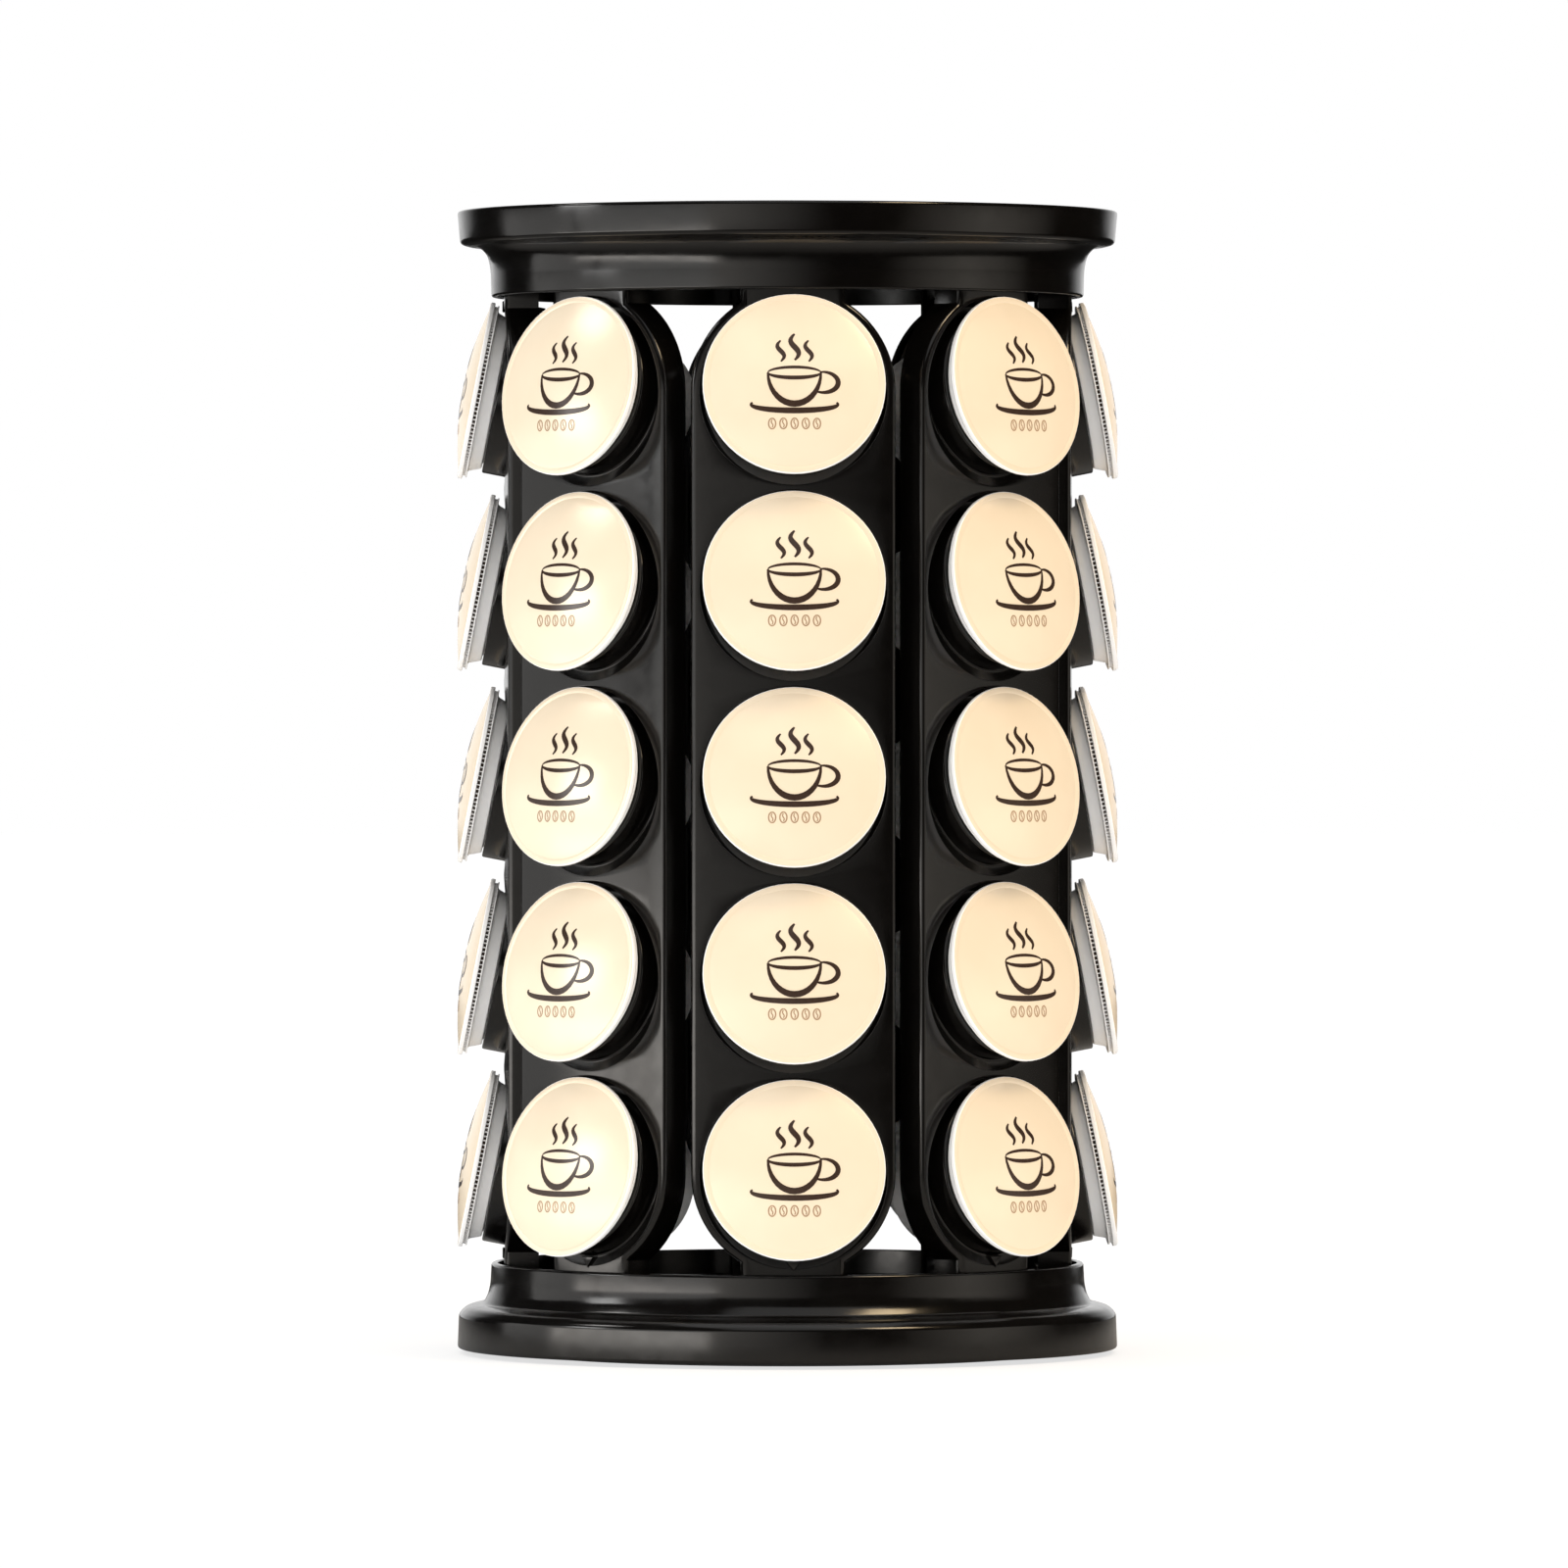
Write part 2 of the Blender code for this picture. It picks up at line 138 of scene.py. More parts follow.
def grown(tree, name, start, sizes):
    """The plain mesh that a node tree makes of a curve or a mesh, with its named inputs set."""
    thing = thing_of(name, start)
    step = thing.modifiers.new(tree.name, "NODES")
    step.node_group = tree
    for label, value in sizes.items():
        step[sockets_of(tree)[label]] = value
    graph = bpy.context.evaluated_depsgraph_get()
    mesh = bpy.data.meshes.new_from_object(thing.evaluated_get(graph), preserve_all_data_layers=True,
                                           depsgraph=graph)
    bpy.data.objects.remove(thing)
    mesh.name = name
    return mesh


def cleaned(mesh, sharp=35.0, weld=0.002 * mm):
    """Close the seams of a mesh, point its faces outwards and shade it smooth up to an angle in degrees."""
    bm = bmesh.new()
    bm.from_mesh(mesh)
    bmesh.ops.remove_doubles(bm, verts=bm.verts[:], dist=weld)
    bmesh.ops.dissolve_degenerate(bm, edges=bm.edges[:], dist=weld / 10)
    loose = [edge for edge in bm.edges if not edge.link_faces]
    bmesh.ops.delete(bm, geom=loose, context="EDGES")
    bmesh.ops.recalc_face_normals(bm, faces=bm.faces[:])
    open_edges = sum(len(edge.link_faces) != 2 for edge in bm.edges)
    bm.to_mesh(mesh)
    bm.free()
    mesh.shade_smooth()
    mesh.set_sharp_from_angle(angle=radians(sharp))
    if open_edges:
        print("open edges in", mesh.name, open_edges)
    return mesh


def merged(name, meshes):
    """One mesh out of several, each with its own material."""
    bm = bmesh.new()
    finishes = []
    for mesh in meshes:
        first = len(bm.faces)
        bm.from_mesh(mesh)
        bm.faces.ensure_lookup_table()
        finish = mesh.materials[0]
        if finish not in finishes:
            finishes.append(finish)
        for face in bm.faces[first:]:
            face.material_index = finishes.index(finish)
    return mesh_of(name, bm, *finishes)


def moved(mesh, matrix):
    """A copy of a mesh in another place."""
    copy = mesh.copy()
    copy.transform(matrix)
    return copy


def turn_to(side):
    """The turn about the tower's axis from panel 1 to another one."""
    return Matrix.Rotation((side - 1) * panel_turn, 4, "Z")


def pocket_frame(side, row):
    """A pocket's frame: origin at the lid's centre, +Z out along the pull, +Y up the lid."""
    return turn_to(side) @ Matrix.Translation(centres[row - 1]) @ Matrix.Rotation(pi / 2 - lean, 4, "X")


# %% [markdown]
# Small helpers for node trees
#
# A node tree reads best when each node is written once, together with what goes into it. An input gets a
# plain value, the output of another node, or a whole node, which stands for its first output.

# %% Add a node and feed its inputs
def feed(node, inputs):
    """Give each input, by name or number, its value or join it to another node."""
    for socket, given in inputs.items():
        if isinstance(given, bpy.types.Node):
            given = given.outputs[0]
        if isinstance(given, bpy.types.NodeSocket):
            node.id_data.links.new(given, node.inputs[socket])
        else:
            node.inputs[socket].default_value = given


def added(tree, kind, inputs=None, operation=None):
    """A new node with its inputs fed."""
    node = tree.nodes.new(kind)
    if operation:
        node.operation = operation
    feed(node, inputs or {})
    return node


def maths(tree, operation, *parts):
    """A maths node that is fed with its parts in order."""
    return added(tree, "ShaderNodeMath", dict(enumerate(parts)), operation)


# %% [markdown]
# Rounded outlines
#
# Moulded plastic has no knife edges: every corner is rounded so that the mould lets go of it. A turned
# piece is therefore written as a short list of corners, each with the distance over which it is rounded, and
# one helper fills in the bends. A corner whose distance is zero stays sharp.

# %% Bend the corners of an outline
def shares(steps):
    """Even shares from 0 to 1."""
    return [step / steps for step in range(steps + 1)]


def bend(first, corner, last, steps=4):
    """Points on a rounded corner, ends included."""
    return [first * (1 - share) ** 2 + corner * (2 * share * (1 - share)) + last * share ** 2
            for share in shares(steps)]


def rounded(corners, steps):
    """A closed outline of (radius, height) from corners of (radius, height, rounding)."""
    least_bend, most_of_an_edge = 0.01 * mm, 0.48
    spots = [Vector(corner[:2]) for corner in corners]
    outline = []
    for index, spot in enumerate(spots):
        before, after = spots[index - 1] - spot, spots[(index + 1) % len(spots)] - spot
        reach = min(corners[index][2], most_of_an_edge * before.length, most_of_an_edge * after.length)
        if reach < least_bend:
            outline.append(spot)
        else:
            outline += bend(spot + reach * before.normalized(), spot, spot + reach * after.normalized(),
                            steps)
    return outline


# %% [markdown]
# A node tree that turns a piece on a lathe
#
# Rings, cups, lids, races and screws are all turned: their shape is one outline carried round an axis. Spin
# would do it, and so would the Screw modifier, but a small Geometry Nodes tree keeps the number of sides and
# the finish as named inputs that a learner can change in one place. The outline is the profile of a tiny
# circle, and merging by distance closes the poles of an outline that touches the axis.

# %% Build the lathe tree
lathe_core = 0.01 * mm


def tree_with(name, inputs):
    """An empty node tree that takes geometry, named sizes and a finish, and the sockets that carry them."""
    tree = bpy.data.node_groups.new(name, "GeometryNodeTree")
    tree.interface.new_socket("Result", in_out="OUTPUT", socket_type="NodeSocketGeometry")
    for label, kind in {"Start": "Geometry", **inputs, "Finish": "Material"}.items():
        tree.interface.new_socket(label, in_out="INPUT", socket_type="NodeSocket" + kind)
    return tree, tree.nodes.new("NodeGroupInput").outputs


def finish_tree(tree, sizes, last):
    """End a tree in plain geometry with the finish that its input names."""
    real = added(tree, "GeometryNodeRealizeInstances", {0: last})
    paint = added(tree, "GeometryNodeSetMaterial", {"Geometry": real, "Material": sizes["Finish"]})
    added(tree, "NodeGroupOutput", {0: paint})
    return tree


def lathe_tree():
    tree, sizes = tree_with("lathe", {"Sides": "Int"})
    circle = added(tree, "GeometryNodeCurvePrimitiveCircle",
                   {"Resolution": sizes["Sides"], "Radius": lathe_core})
    sweep = added(tree, "GeometryNodeCurveToMesh", {"Curve": circle, "Profile Curve": sizes["Start"]})
    weld = added(tree, "GeometryNodeMergeByDistance", {"Geometry": sweep, "Distance": 2.5 * lathe_core})
    return finish_tree(tree, sizes, weld)


lathe = lathe_tree()


def curve_of(name, strokes, closed):
    """Curve data with one poly spline for each stroke, which is a list of (x, y, width)."""
    curve = bpy.data.curves.new(name, "CURVE")
    curve.dimensions = "3D"
    for stroke in strokes:
        spline = curve.splines.new("POLY")
        spline.points.add(len(stroke) - 1)
        spline.use_cyclic_u = closed
        for point, (x, y, width) in zip(spline.points, stroke):
            point.co = (x, y, 0, 1)
            point.radius = width
    return curve


def turned(name, corners, sides, finish, steps=5):
    """A mesh turned about +Z from the corners of a closed outline, as (radius, height, rounding)."""
    profile = [(max(radius - lathe_core, 0), -height, 1.0) for radius, height in rounded(corners, steps)]
    return cleaned(grown(lathe, name, curve_of(name, [profile], True), {"Sides": sides, "Finish": finish}))


print("lathe inputs:", list(sockets_of(lathe)))

# %% [markdown]
# A node tree that repeats a piece round the axis
#
# Keys, bosses, screws, balls and the fine ribs under each rim all repeat evenly round a circle. The piece is
# made once where it lies at angle zero, and the tree sets a copy of it at every turn. Every copy is an
# instance on a point at the centre, so only its rotation changes.

# %% Build the repeating tree
def repeat_tree():
    tree, sizes = tree_with("round_the_axis", {"Copies": "Int"})
    points = added(tree, "GeometryNodePoints", {"Count": sizes["Copies"]})
    share = maths(tree, "DIVIDE", added(tree, "GeometryNodeInputIndex"), sizes["Copies"])
    turn = added(tree, "ShaderNodeCombineXYZ", {"Z": maths(tree, "MULTIPLY", share, 2 * pi)})
    copies = added(tree, "GeometryNodeInstanceOnPoints",
                   {"Points": points, "Instance": sizes["Start"], "Rotation": turn})
    return finish_tree(tree, sizes, copies)


repeat = repeat_tree()
print("repeating inputs:", list(sockets_of(repeat)))


def repeated(name, mesh, copies):
    """Copies of a mesh set evenly round +Z, in the mesh's own finish."""
    return grown(repeat, name, mesh, {"Copies": copies, "Finish": mesh.materials[0]})


def block(name, low, high, finish, rounding=0.0):
    """A box from its lowest to its highest corner, with its edges rounded."""
    bm = bmesh.new()
    size = Vector(high) - Vector(low)
    middle = (Vector(high) + Vector(low)) / 2
    bmesh.ops.create_cube(bm, size=1.0, matrix=Matrix.Translation(middle) @ Matrix.Diagonal((*size, 1)))
    if rounding:
        bmesh.ops.bevel(bm, geom=bm.edges[:], offset=rounding, segments=2, affect="EDGES", profile=0.5)
    return cleaned(mesh_of(name, bm, finish))


# %% [markdown]
# Black moulded plastic
#
# The shells are glossy black polystyrene. Up close such a moulding isn't a perfect mirror: the gloss varies
# a little where the plastic flowed, and the surface has a very shallow waviness that makes reflections swim.
# Both come from noise on object coordinates, so the pattern stays fixed in the plastic. Polystyrene bends
# light more than most plastics do, so its index of refraction is 1.59 and it mirrors a little more.

# %% Helpers for materials
def material_with(name, colour, roughness, metallic=0.0):
    """A Principled material, its node tree and its shader."""
    finish = bpy.data.materials.new(name)
    finish.use_nodes = True
    finish.diffuse_color = (*colour, 1.0)
    shader = finish.node_tree.nodes["Principled BSDF"]
    feed(shader, {"Base Color": (*colour, 1.0), "Roughness": roughness, "Metallic": metallic})
    return finish, finish.node_tree, shader


def noise(tree, scale, detail=3.0, stretch=(1, 1, 1)):
    """Noise on object coordinates, with so many waves to the metre; it may be stretched."""
    place = added(tree, "ShaderNodeTexCoord").outputs["Object"]
    grid = added(tree, "ShaderNodeMapping", {"Vector": place, "Scale": stretch})
    wave = added(tree, "ShaderNodeTexNoise", {"Vector": grid, "Scale": scale, "Detail": detail})
    return wave.outputs["Fac"]


def spread(tree, value, low, high, start=0.3, end=0.7):
    """A number that goes from low to high while a value goes from start to end, as a noise does."""
    step = {"Value": value, "From Min": start, "From Max": end, "To Min": low, "To Max": high}
    return added(tree, "ShaderNodeMapRange", step).outputs["Result"]


def between(tree, value, low, high, start=0.3, end=0.7):
    """A colour that goes from low to high while a value goes from start to end."""
    mix = tree.nodes.new("ShaderNodeMix")
    mix.data_type = "RGBA"
    feed(mix, {"Factor": spread(tree, value, 0.0, 1.0, start, end), "A": (*low, 1), "B": (*high, 1)})
    return mix.outputs["Result"]


def varied(tree, shader, colours, gloss, *bumps):
    """Let colour and roughness wander by (noise, low, high) each, and add bumps of (noise, metres)."""
    feed(shader, {"Base Color": between(tree, *colours), "Roughness": spread(tree, *gloss)})
    surface = {}
    for value, height in bumps:
        surface = {"Normal": added(tree, "ShaderNodeBump", {"Height": value, "Distance": height, **surface})}
    feed(shader, surface)


# %% The black plastic
def black_plastic():
    finish, tree, shader = material_with("black_shell", (0.0025, 0.0021, 0.0019), 0.17)
    feed(shader, {"IOR": 1.59})
    varied(tree, shader, (noise(tree, 90.0, 2.0), (0.0021, 0.0018, 0.0016), (0.0031, 0.0026, 0.0024)),
           (noise(tree, 160.0, 4.0), 0.13, 0.20),
           (noise(tree, 45.0, 1.0), 0.03 * mm), (noise(tree, 2600.0, 2.0), 0.001 * mm))
    return finish


shell = black_plastic()
print("finish:", shell.name)

# %% [markdown]
# White cup plastic, foil and print
#
# The cups are white satin polypropylene. The lids are aluminium foil under a cream lacquer, so they are
# partly metallic: they keep their colour in plain light and flash white where a lamp is mirrored. The print
# on them is a dark brown ink, and a lighter tan one for the small marks.

# %% Cup, foil and ink
def cup_plastic():
    finish, tree, shader = material_with("capsule_cup", (0.94, 0.93, 0.92), 0.38)
    varied(tree, shader, (noise(tree, 120.0), (0.93, 0.92, 0.91), (0.95, 0.94, 0.93)),
           (noise(tree, 400.0), 0.34, 0.44), (noise(tree, 3000.0, 2.0), 0.002 * mm))
    feed(shader, {"Subsurface Weight": 0.08, "Subsurface Radius": (2.0 * mm, 1.8 * mm, 1.6 * mm),
                  "Subsurface Scale": 1.0})
    return finish


def lid_foil():
    finish, tree, shader = material_with("lid_foil", (0.84, 0.71, 0.54), 0.24, 0.12)
    varied(tree, shader, (noise(tree, 70.0, 2.0), (0.83, 0.70, 0.53), (0.85, 0.725, 0.555)),
           (noise(tree, 200.0), 0.22, 0.25), (noise(tree, 60.0, 1.0), 0.05 * mm))
    return finish


def ink(name, colour):
    finish, tree, shader = material_with(name, colour, 0.22)
    lighter = [1.25 * part for part in colour]
    varied(tree, shader, (noise(tree, 900.0), colour, lighter), (noise(tree, 700.0), 0.20, 0.24))
    return finish


cup_finish = cup_plastic()
foil_finish = lid_foil()
# The dark ink is also used as painted shade: the band at the bottom of each cup's rim groove.
dark_ink_and_painted_shade = ink("print_dark_and_painted_shade", (0.035, 0.020, 0.014))
tan_ink = ink("print_tan", (0.30, 0.20, 0.12))

# %% [markdown]
# Steel and rubber
#
# The turntable's races are pressed steel with the fine scratches that turning leaves, and the ring that
# grips the table is matt black rubber.

# %% Steel and rubber
def bearing_steel():
    finish, tree, shader = material_with("bearing_steel", (0.62, 0.62, 0.63), 0.28, 1.0)
    lines = noise(tree, 60.0, 6.0, (1, 1, 40))
    varied(tree, shader, (noise(tree, 200.0), (0.58, 0.58, 0.59), (0.66, 0.66, 0.67)),
           (lines, 0.20, 0.36), (lines, 0.004 * mm))
    return finish


def foot_rubber():
    finish, tree, shader = material_with("foot_rubber", (0.03, 0.03, 0.03), 0.8)
    grain = noise(tree, 2500.0)
    varied(tree, shader, (grain, (0.024, 0.024, 0.024), (0.04, 0.04, 0.04)), (grain, 0.72, 0.88),
           (grain, 0.01 * mm))
    return finish


steel = bearing_steel()
rubber = foot_rubber()
finishes = (shell, cup_finish, foil_finish, dark_ink_and_painted_shade, tan_ink, steel, rubber)
print("finishes:", [finish.name for finish in finishes])

# %% [markdown]
# A panel with its five pockets
#
# On the real object a panel is one moulded tray: a gently crowned face with rounded ends, a tab at each end,
# side walls, and five pockets. A pocket is a tilted well with a raised collar in it, and the capsule's
# shoulder sits on the collar. Booleans would leave long thin faces that shade badly, so the shell is woven by
# hand: from every pocket's middle, rays go out in all directions, and along each ray a chain of points runs
# from the bore over collar, trough and well to the panel's edge, and back again behind it. Neighbouring
# chains make clean strips of quads that bend exactly where the plastic does.

# %% Sizes of a pocket
bore_radius = 21.6 * mm
collar_radius, collar_top = 24.0 * mm, -6.2 * mm
well_radius, well_lip = rim_radius + 0.5 * mm, 0.2 * mm
plate, side_wall = 1.8 * mm, 1.2 * mm
well_floor = -(standoff + well_radius * sin(lean)) / cos(lean) - well_lip
floor_back = well_floor - plate
cup_wall = 0.8 * mm
face_crown = 1.4 * mm           # how far the face falls away towards its sides
edge_round = 1.5 * mm
collar_round, collar_fillet = 0.6 * mm, 1.0 * mm
well_fillet, brink_round = 1.2 * mm, 0.6 * mm
seam_gap = 0.1 * mm             # keeps a well's back wall within its own stretch of panel
tab_half = 15.25 * mm
tab_reach = panel_high.z - row_heights[-1]
ray_count = 96
arc_turn = pi / 2 - asin(tab_half / panel_half_width)
tab_turn = atan2(tab_reach, tab_half)
stretch_turn = atan2(row_pitch / 2, panel_half_width)


def face_fall(across):
    return face_crown * (across / panel_half_width) ** 2


def ray_turns():
    """Evenly spread angles about a pocket's middle, moved so that every corner of the outline has one."""
    corners = [stretch_turn, arc_turn, tab_turn]
    corners += [pi - turn for turn in corners]
    corners += [-turn for turn in corners]
    turns = [2 * pi * step / ray_count - pi for step in range(ray_count)]
    for corner in corners:
        nearest = min(range(ray_count), key=lambda step: abs(turns[step] - corner))
        turns[nearest] = corner
    return turns


# %% The outline that a ray meets
def outline_point(turn, rounded_end):
    """Where a ray leaves its stretch of panel as (across, up), and the mitred way out there. The way is None
    where the ray only crosses into the next stretch."""
    across, up = cos(turn), sin(turn)
    flat_turn = min(abs(turn), pi - abs(turn))
    side, end = (1 if across >= 0 else -1), (1 if up >= 0 else -1)
    near = 1e-9
    if not rounded_end:
        if flat_turn <= stretch_turn + near:
            return side * panel_half_width, end * panel_half_width * tan(flat_turn), (side, 0)
        return side * row_pitch / 2 / tan(flat_turn), end * row_pitch / 2, None
    if flat_turn < arc_turn - near:
        return panel_half_width * across, panel_half_width * up, (across, up)
    if flat_turn <= arc_turn + near:
        mitre = 1 + cos(arc_turn)
        return panel_half_width * across, panel_half_width * up, ((across + side) / mitre, up / mitre)
    if flat_turn < tab_turn - near:
        return side * tab_half, end * tab_half * tan(flat_turn), (side, 0)
    if flat_turn <= tab_turn + near:
        return side * tab_half, end * tab_reach, (side, end)
    return side * tab_reach / tan(flat_turn), end * tab_reach, (0, end)


# %% The chain of points along one ray
def ray_chains(turn, height, rounded_end):
    """Points along a ray: over the front, over the back, and round the panel's wall or None."""
    across, up = cos(turn), sin(turn) * cos(lean)
    size = hypot(across, up)
    across, up = across / size, up / size

    def spot(radius, out):
        """A point of the pocket's frame, in the ray's direction."""
        return Vector((radius * across,
                       radius * up * sin(lean) - out * cos(lean) - face_apothem - standoff,
                       radius * up * cos(lean) + out * sin(lean) + height + standoff * tan(lean)))

    def bent(radius, out, before, after):
        """Points round a corner of the pocket's section, from one offset to the other."""
        return bend(spot(radius + before[0], out + before[1]), spot(radius, out),
                    spot(radius + after[0], out + after[1]))

    def out_to(radius, depth):
        """How far out a cylinder about the pocket's axis meets a surface this deep behind the face."""
        return (radius * up * sin(lean) - standoff - depth - face_fall(radius * across)) / cos(lean)

    def on_face(x, up_to, depth=0.0):
        return Vector((x, depth + face_fall(x) - face_apothem, height + up_to))

    mouth = out_to(well_radius, 0.0)
    deep = mouth - well_floor
    foot, lip = min(well_fillet, 0.55 * deep), min(brink_round, 0.35 * deep)
    front = [spot(bore_radius, floor_back)]
    front += bent(bore_radius, collar_top, (0, -collar_round), (collar_round, 0))
    front += bent(collar_radius, collar_top, (-collar_round, 0), (0, -collar_round))
    front += bent(collar_radius, well_floor, (0, collar_fillet), (collar_fillet, 0))
    front += bent(well_radius, well_floor, (-foot, 0), (0, foot))
    brink = spot(well_radius, mouth)
    past = brink + lip * Vector((cos(turn), 0, sin(turn)))
    front += bend(spot(well_radius, mouth - lip), brink, on_face(past.x, past.z - height))
    x, z, way = outline_point(turn, rounded_end)
    outwards = way or (0, 0)
    rim = on_face(x - outwards[0] * edge_round, z - outwards[1] * edge_round)
    halfway = (front[-1] + rim) / 2
    front += [on_face(halfway.x, halfway.z - height), rim]

    cup_radius = well_radius + cup_wall
    behind = [spot(bore_radius, floor_back), spot(cup_radius, floor_back)]
    root = spot(cup_radius, max(out_to(cup_radius, plate), floor_back))
    span = row_pitch / 2 - seam_gap
    root.z = min(max(root.z, height - span), height + span)
    inner = on_face(x - outwards[0] * side_wall, z - outwards[1] * side_wall, plate)
    behind += [root, inner]
    if not way:
        return front, behind, None
    shoulder = on_face(x, z, edge_round)
    wall = bend(rim, Vector((x, rim.y, height + z)), shoulder)
    wall += [Vector((x, -back_apothem, height + z)), Vector((inner.x, -back_apothem, inner.z)), inner]
    return front, behind, wall


# %% Weave the panel
def panel_shell():
    verts, faces = [], []

    def strip(near, far):
        """Quads between two chains."""
        first = len(verts)
        verts.extend(near + far)
        second = first + len(near)
        for step in range(len(near) - 1):
            faces.append((first + step, first + step + 1, second + step + 1, second + step))

    turns = ray_turns()
    for row, height in enumerate(row_heights):
        chains = []
        for turn in turns:
            rounded_end = row == row_count - 1 if sin(turn) > 0 else row == 0
            chains.append(ray_chains(turn, height, rounded_end))
        for near, far in zip(chains, chains[1:] + chains[:1]):
            for part in range(3):
                if near[part] and far[part]:
                    strip(near[part], far[part])
    mesh = bpy.data.meshes.new("panel")
    mesh.from_pydata([tuple(vert) for vert in verts], [], faces)
    mesh.materials.append(shell)
    return cleaned(mesh, sharp=38.0)


panel = panel_shell()
print("panel faces:", len(panel.polygons))

# %% [markdown]
# Marks that say which end is up
#
# The real panels carry a word near each end, moulded in the plastic, for whoever assembles the tower. A
# raised arrowhead says the same without words: it points up at the top tab and down at the bottom one.

# %% Raised arrowheads
def arrowhead(name, tip_height, foot_height):
    """A triangle with softened edges that stands out of the panel's face."""
    bm = bmesh.new()
    spots = [(0, tip_height), (mark_half, foot_height), (-mark_half, foot_height)]
    front = [bm.verts.new((x, -face_apothem - mark_relief, z)) for x, z in spots]
    back = [bm.verts.new((x, -face_apothem + plate / 2, z)) for x, z in spots]
    top = bm.faces.new(front)
    bm.faces.new(back[::-1])
    for step in range(3):
        after = (step + 1) % 3
        bm.faces.new((front[after], front[step], back[step], back[after]))
    bmesh.ops.bevel(bm, geom=list(top.edges), offset=0.6 * mark_relief, segments=3, affect="EDGES",
                    profile=0.5)
    return cleaned(mesh_of(name, bm, shell))


mark_height, mark_half, mark_relief, mark_inset = 3.4 * mm, 2.6 * mm, 0.45 * mm, 1.6 * mm
upper_mark = row_heights[-1] + panel_half_width - mark_inset
lower_mark = row_heights[0] - panel_half_width + mark_inset
marked = merged("panel", [panel, arrowhead("up", upper_mark, upper_mark - mark_height),
                          arrowhead("down", lower_mark, lower_mark + mark_height)])

# %% Set the eight panels
for side in range(1, panel_count + 1):
    show(f"shell_{side}", moved(marked, turn_to(side)), "tower", "black_shell", f"panel_{side}")
print("panels set:", panel_count)

# %% [markdown]
# The two end rings
#
# Both rings come from one mould idea: a flange like a plate's rim, a sloping ledge, a hollow curve called a
# cove, and a neck that takes the panels' tabs. The base stands flange down, and the top is much the same
# moulding turned over, so its hollow becomes a tray. They are turned on the lathe tree with many sides,
# because their long highlights would show every facet.

# %% Sections of the two end rings
ring_height = base_high.z - base_low.z
tray_floor = next(mount for mount in frame["record"]["mounts"] if mount["name"] == "tray_floor")
deck_low = top_high.z - tray_floor["pos_m"][2]
deck_high = deck_low + 2.0 * mm
neck_radius = flange_radius - 10.25 * mm
skirt_radius = neck_radius - 1.9 * mm
ring_wall = 2.2 * mm

# Corners from the flange's edge to the neck as (millimetres in from the edge, height, rounding).
base_outside = [(0, 0, 1.4), (0.4, 10.4, 1.0), (2.4, 12.5, 1.2), (5.4, 13.4, 1.6), (7.8, 13.6, 0.9),
                (9.25, 16.5, 0.9), (9.9, 19.4, 1.8)]
base_inside = [(11.6, 12.2, 1.0), (3.4, 11.2, 1.2), (2.2, 0, 0.5)]
top_outside = [(0, 0, 1.4), (0.8, 9.8, 1.6), (3.4, 10.5, 1.2), (6.6, 10.6, 1.6), (8.8, 12.8, 1.6),
               (9.6, 15.2, 1.6), (10.05, 18.4, 1.5)]
top_inside = [(11.9, 12.6, 1.2), (8.2, 8.5, 1.2), (3.2, 8.2, 1.2), (2.2, 0, 0.5)]


def ring_section(outside, inside):
    """A ring's corners, flange down, as (radius, height above the flange's edge, rounding)."""
    def placed(corners):
        return [(flange_radius - inward * mm, height * mm, soft * mm) for inward, height, soft in corners]

    return placed(outside) + [
        (neck_radius, ring_height, 1.8 * mm), (skirt_radius, ring_height, 0.4 * mm),
        (skirt_radius, deck_high, 0.5 * mm), (0, deck_high, 0), (0, deck_low, 0),
        (neck_radius - ring_wall, deck_low, 0.8 * mm)] + placed(inside)


# %% Bosses for the screws
screw_low, screw_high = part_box("race_screw_1")
race_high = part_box("upper_race_plate")[1]
screw_circle = (screw_low.x + screw_high.x) / 2
screw_count, screw_place = 4, Matrix.Translation((screw_circle, 0, 0))
boss_bore, boss_foot, boss_root, boss_gap = 1.5 * mm, 3.6 * mm, 4.2 * mm, 0.3 * mm
sunk = 0.5 * mm                 # how far bosses and keys reach into the deck
boss_sides, ring_sides = 32, 192


def screw_bosses():
    """Short posts under the deck that the screws bite into."""
    low, high = race_high.z + boss_gap, base_low.z + deck_low + sunk
    post = [(boss_bore, low, 0), (boss_foot, low, 0.3 * mm), (boss_root, high, 0), (boss_bore, high, 0)]
    boss = moved(turned("boss", post, boss_sides, shell), screw_place)
    return repeated("bosses", boss, screw_count)


# %% Turn the rings and set their keys
key_gap, key_slack, key_short, key_round = 0.9 * mm, 0.3 * mm, 1.0 * mm, 0.5 * mm


def ring_keys(low, high):
    """Blocks on a deck, one in each tab's channel."""
    half_width = tab_half - side_wall - key_gap
    near, far = back_apothem, face_apothem - plate - key_slack
    key = block("key", (-half_width, -far, low), (half_width, -near, high), shell, key_round)
    return cleaned(repeated("keys", key, panel_count))


def end_ring(name, outside, inside, edge, way, *more):
    """A ring with its keys. Its flange's edge is at a given height; the way is 1 up from there, -1 down."""
    corners = [(radius, edge + way * height, soft) for radius, height, soft in ring_section(outside, inside)]
    ends = sorted(edge + way * height for height in (deck_high - sunk, ring_height - key_short))
    ring = turned(name, corners, ring_sides, shell, steps=6)
    return merged(name, [ring, ring_keys(*ends), *more])


base_moulding = end_ring("base_moulding", base_outside, base_inside, base_low.z, 1, screw_bosses())
show("base_moulding", base_moulding, "tower", "black_shell", "base_ring")
top_moulding = end_ring("top_moulding", top_outside, top_inside, top_high.z, -1)
show("top_moulding", top_moulding, "tower", "black_shell", "top_ring")
print("rings turned; deck from", round(deck_low / mm, 2), "to", round(deck_high / mm, 2), "mm")
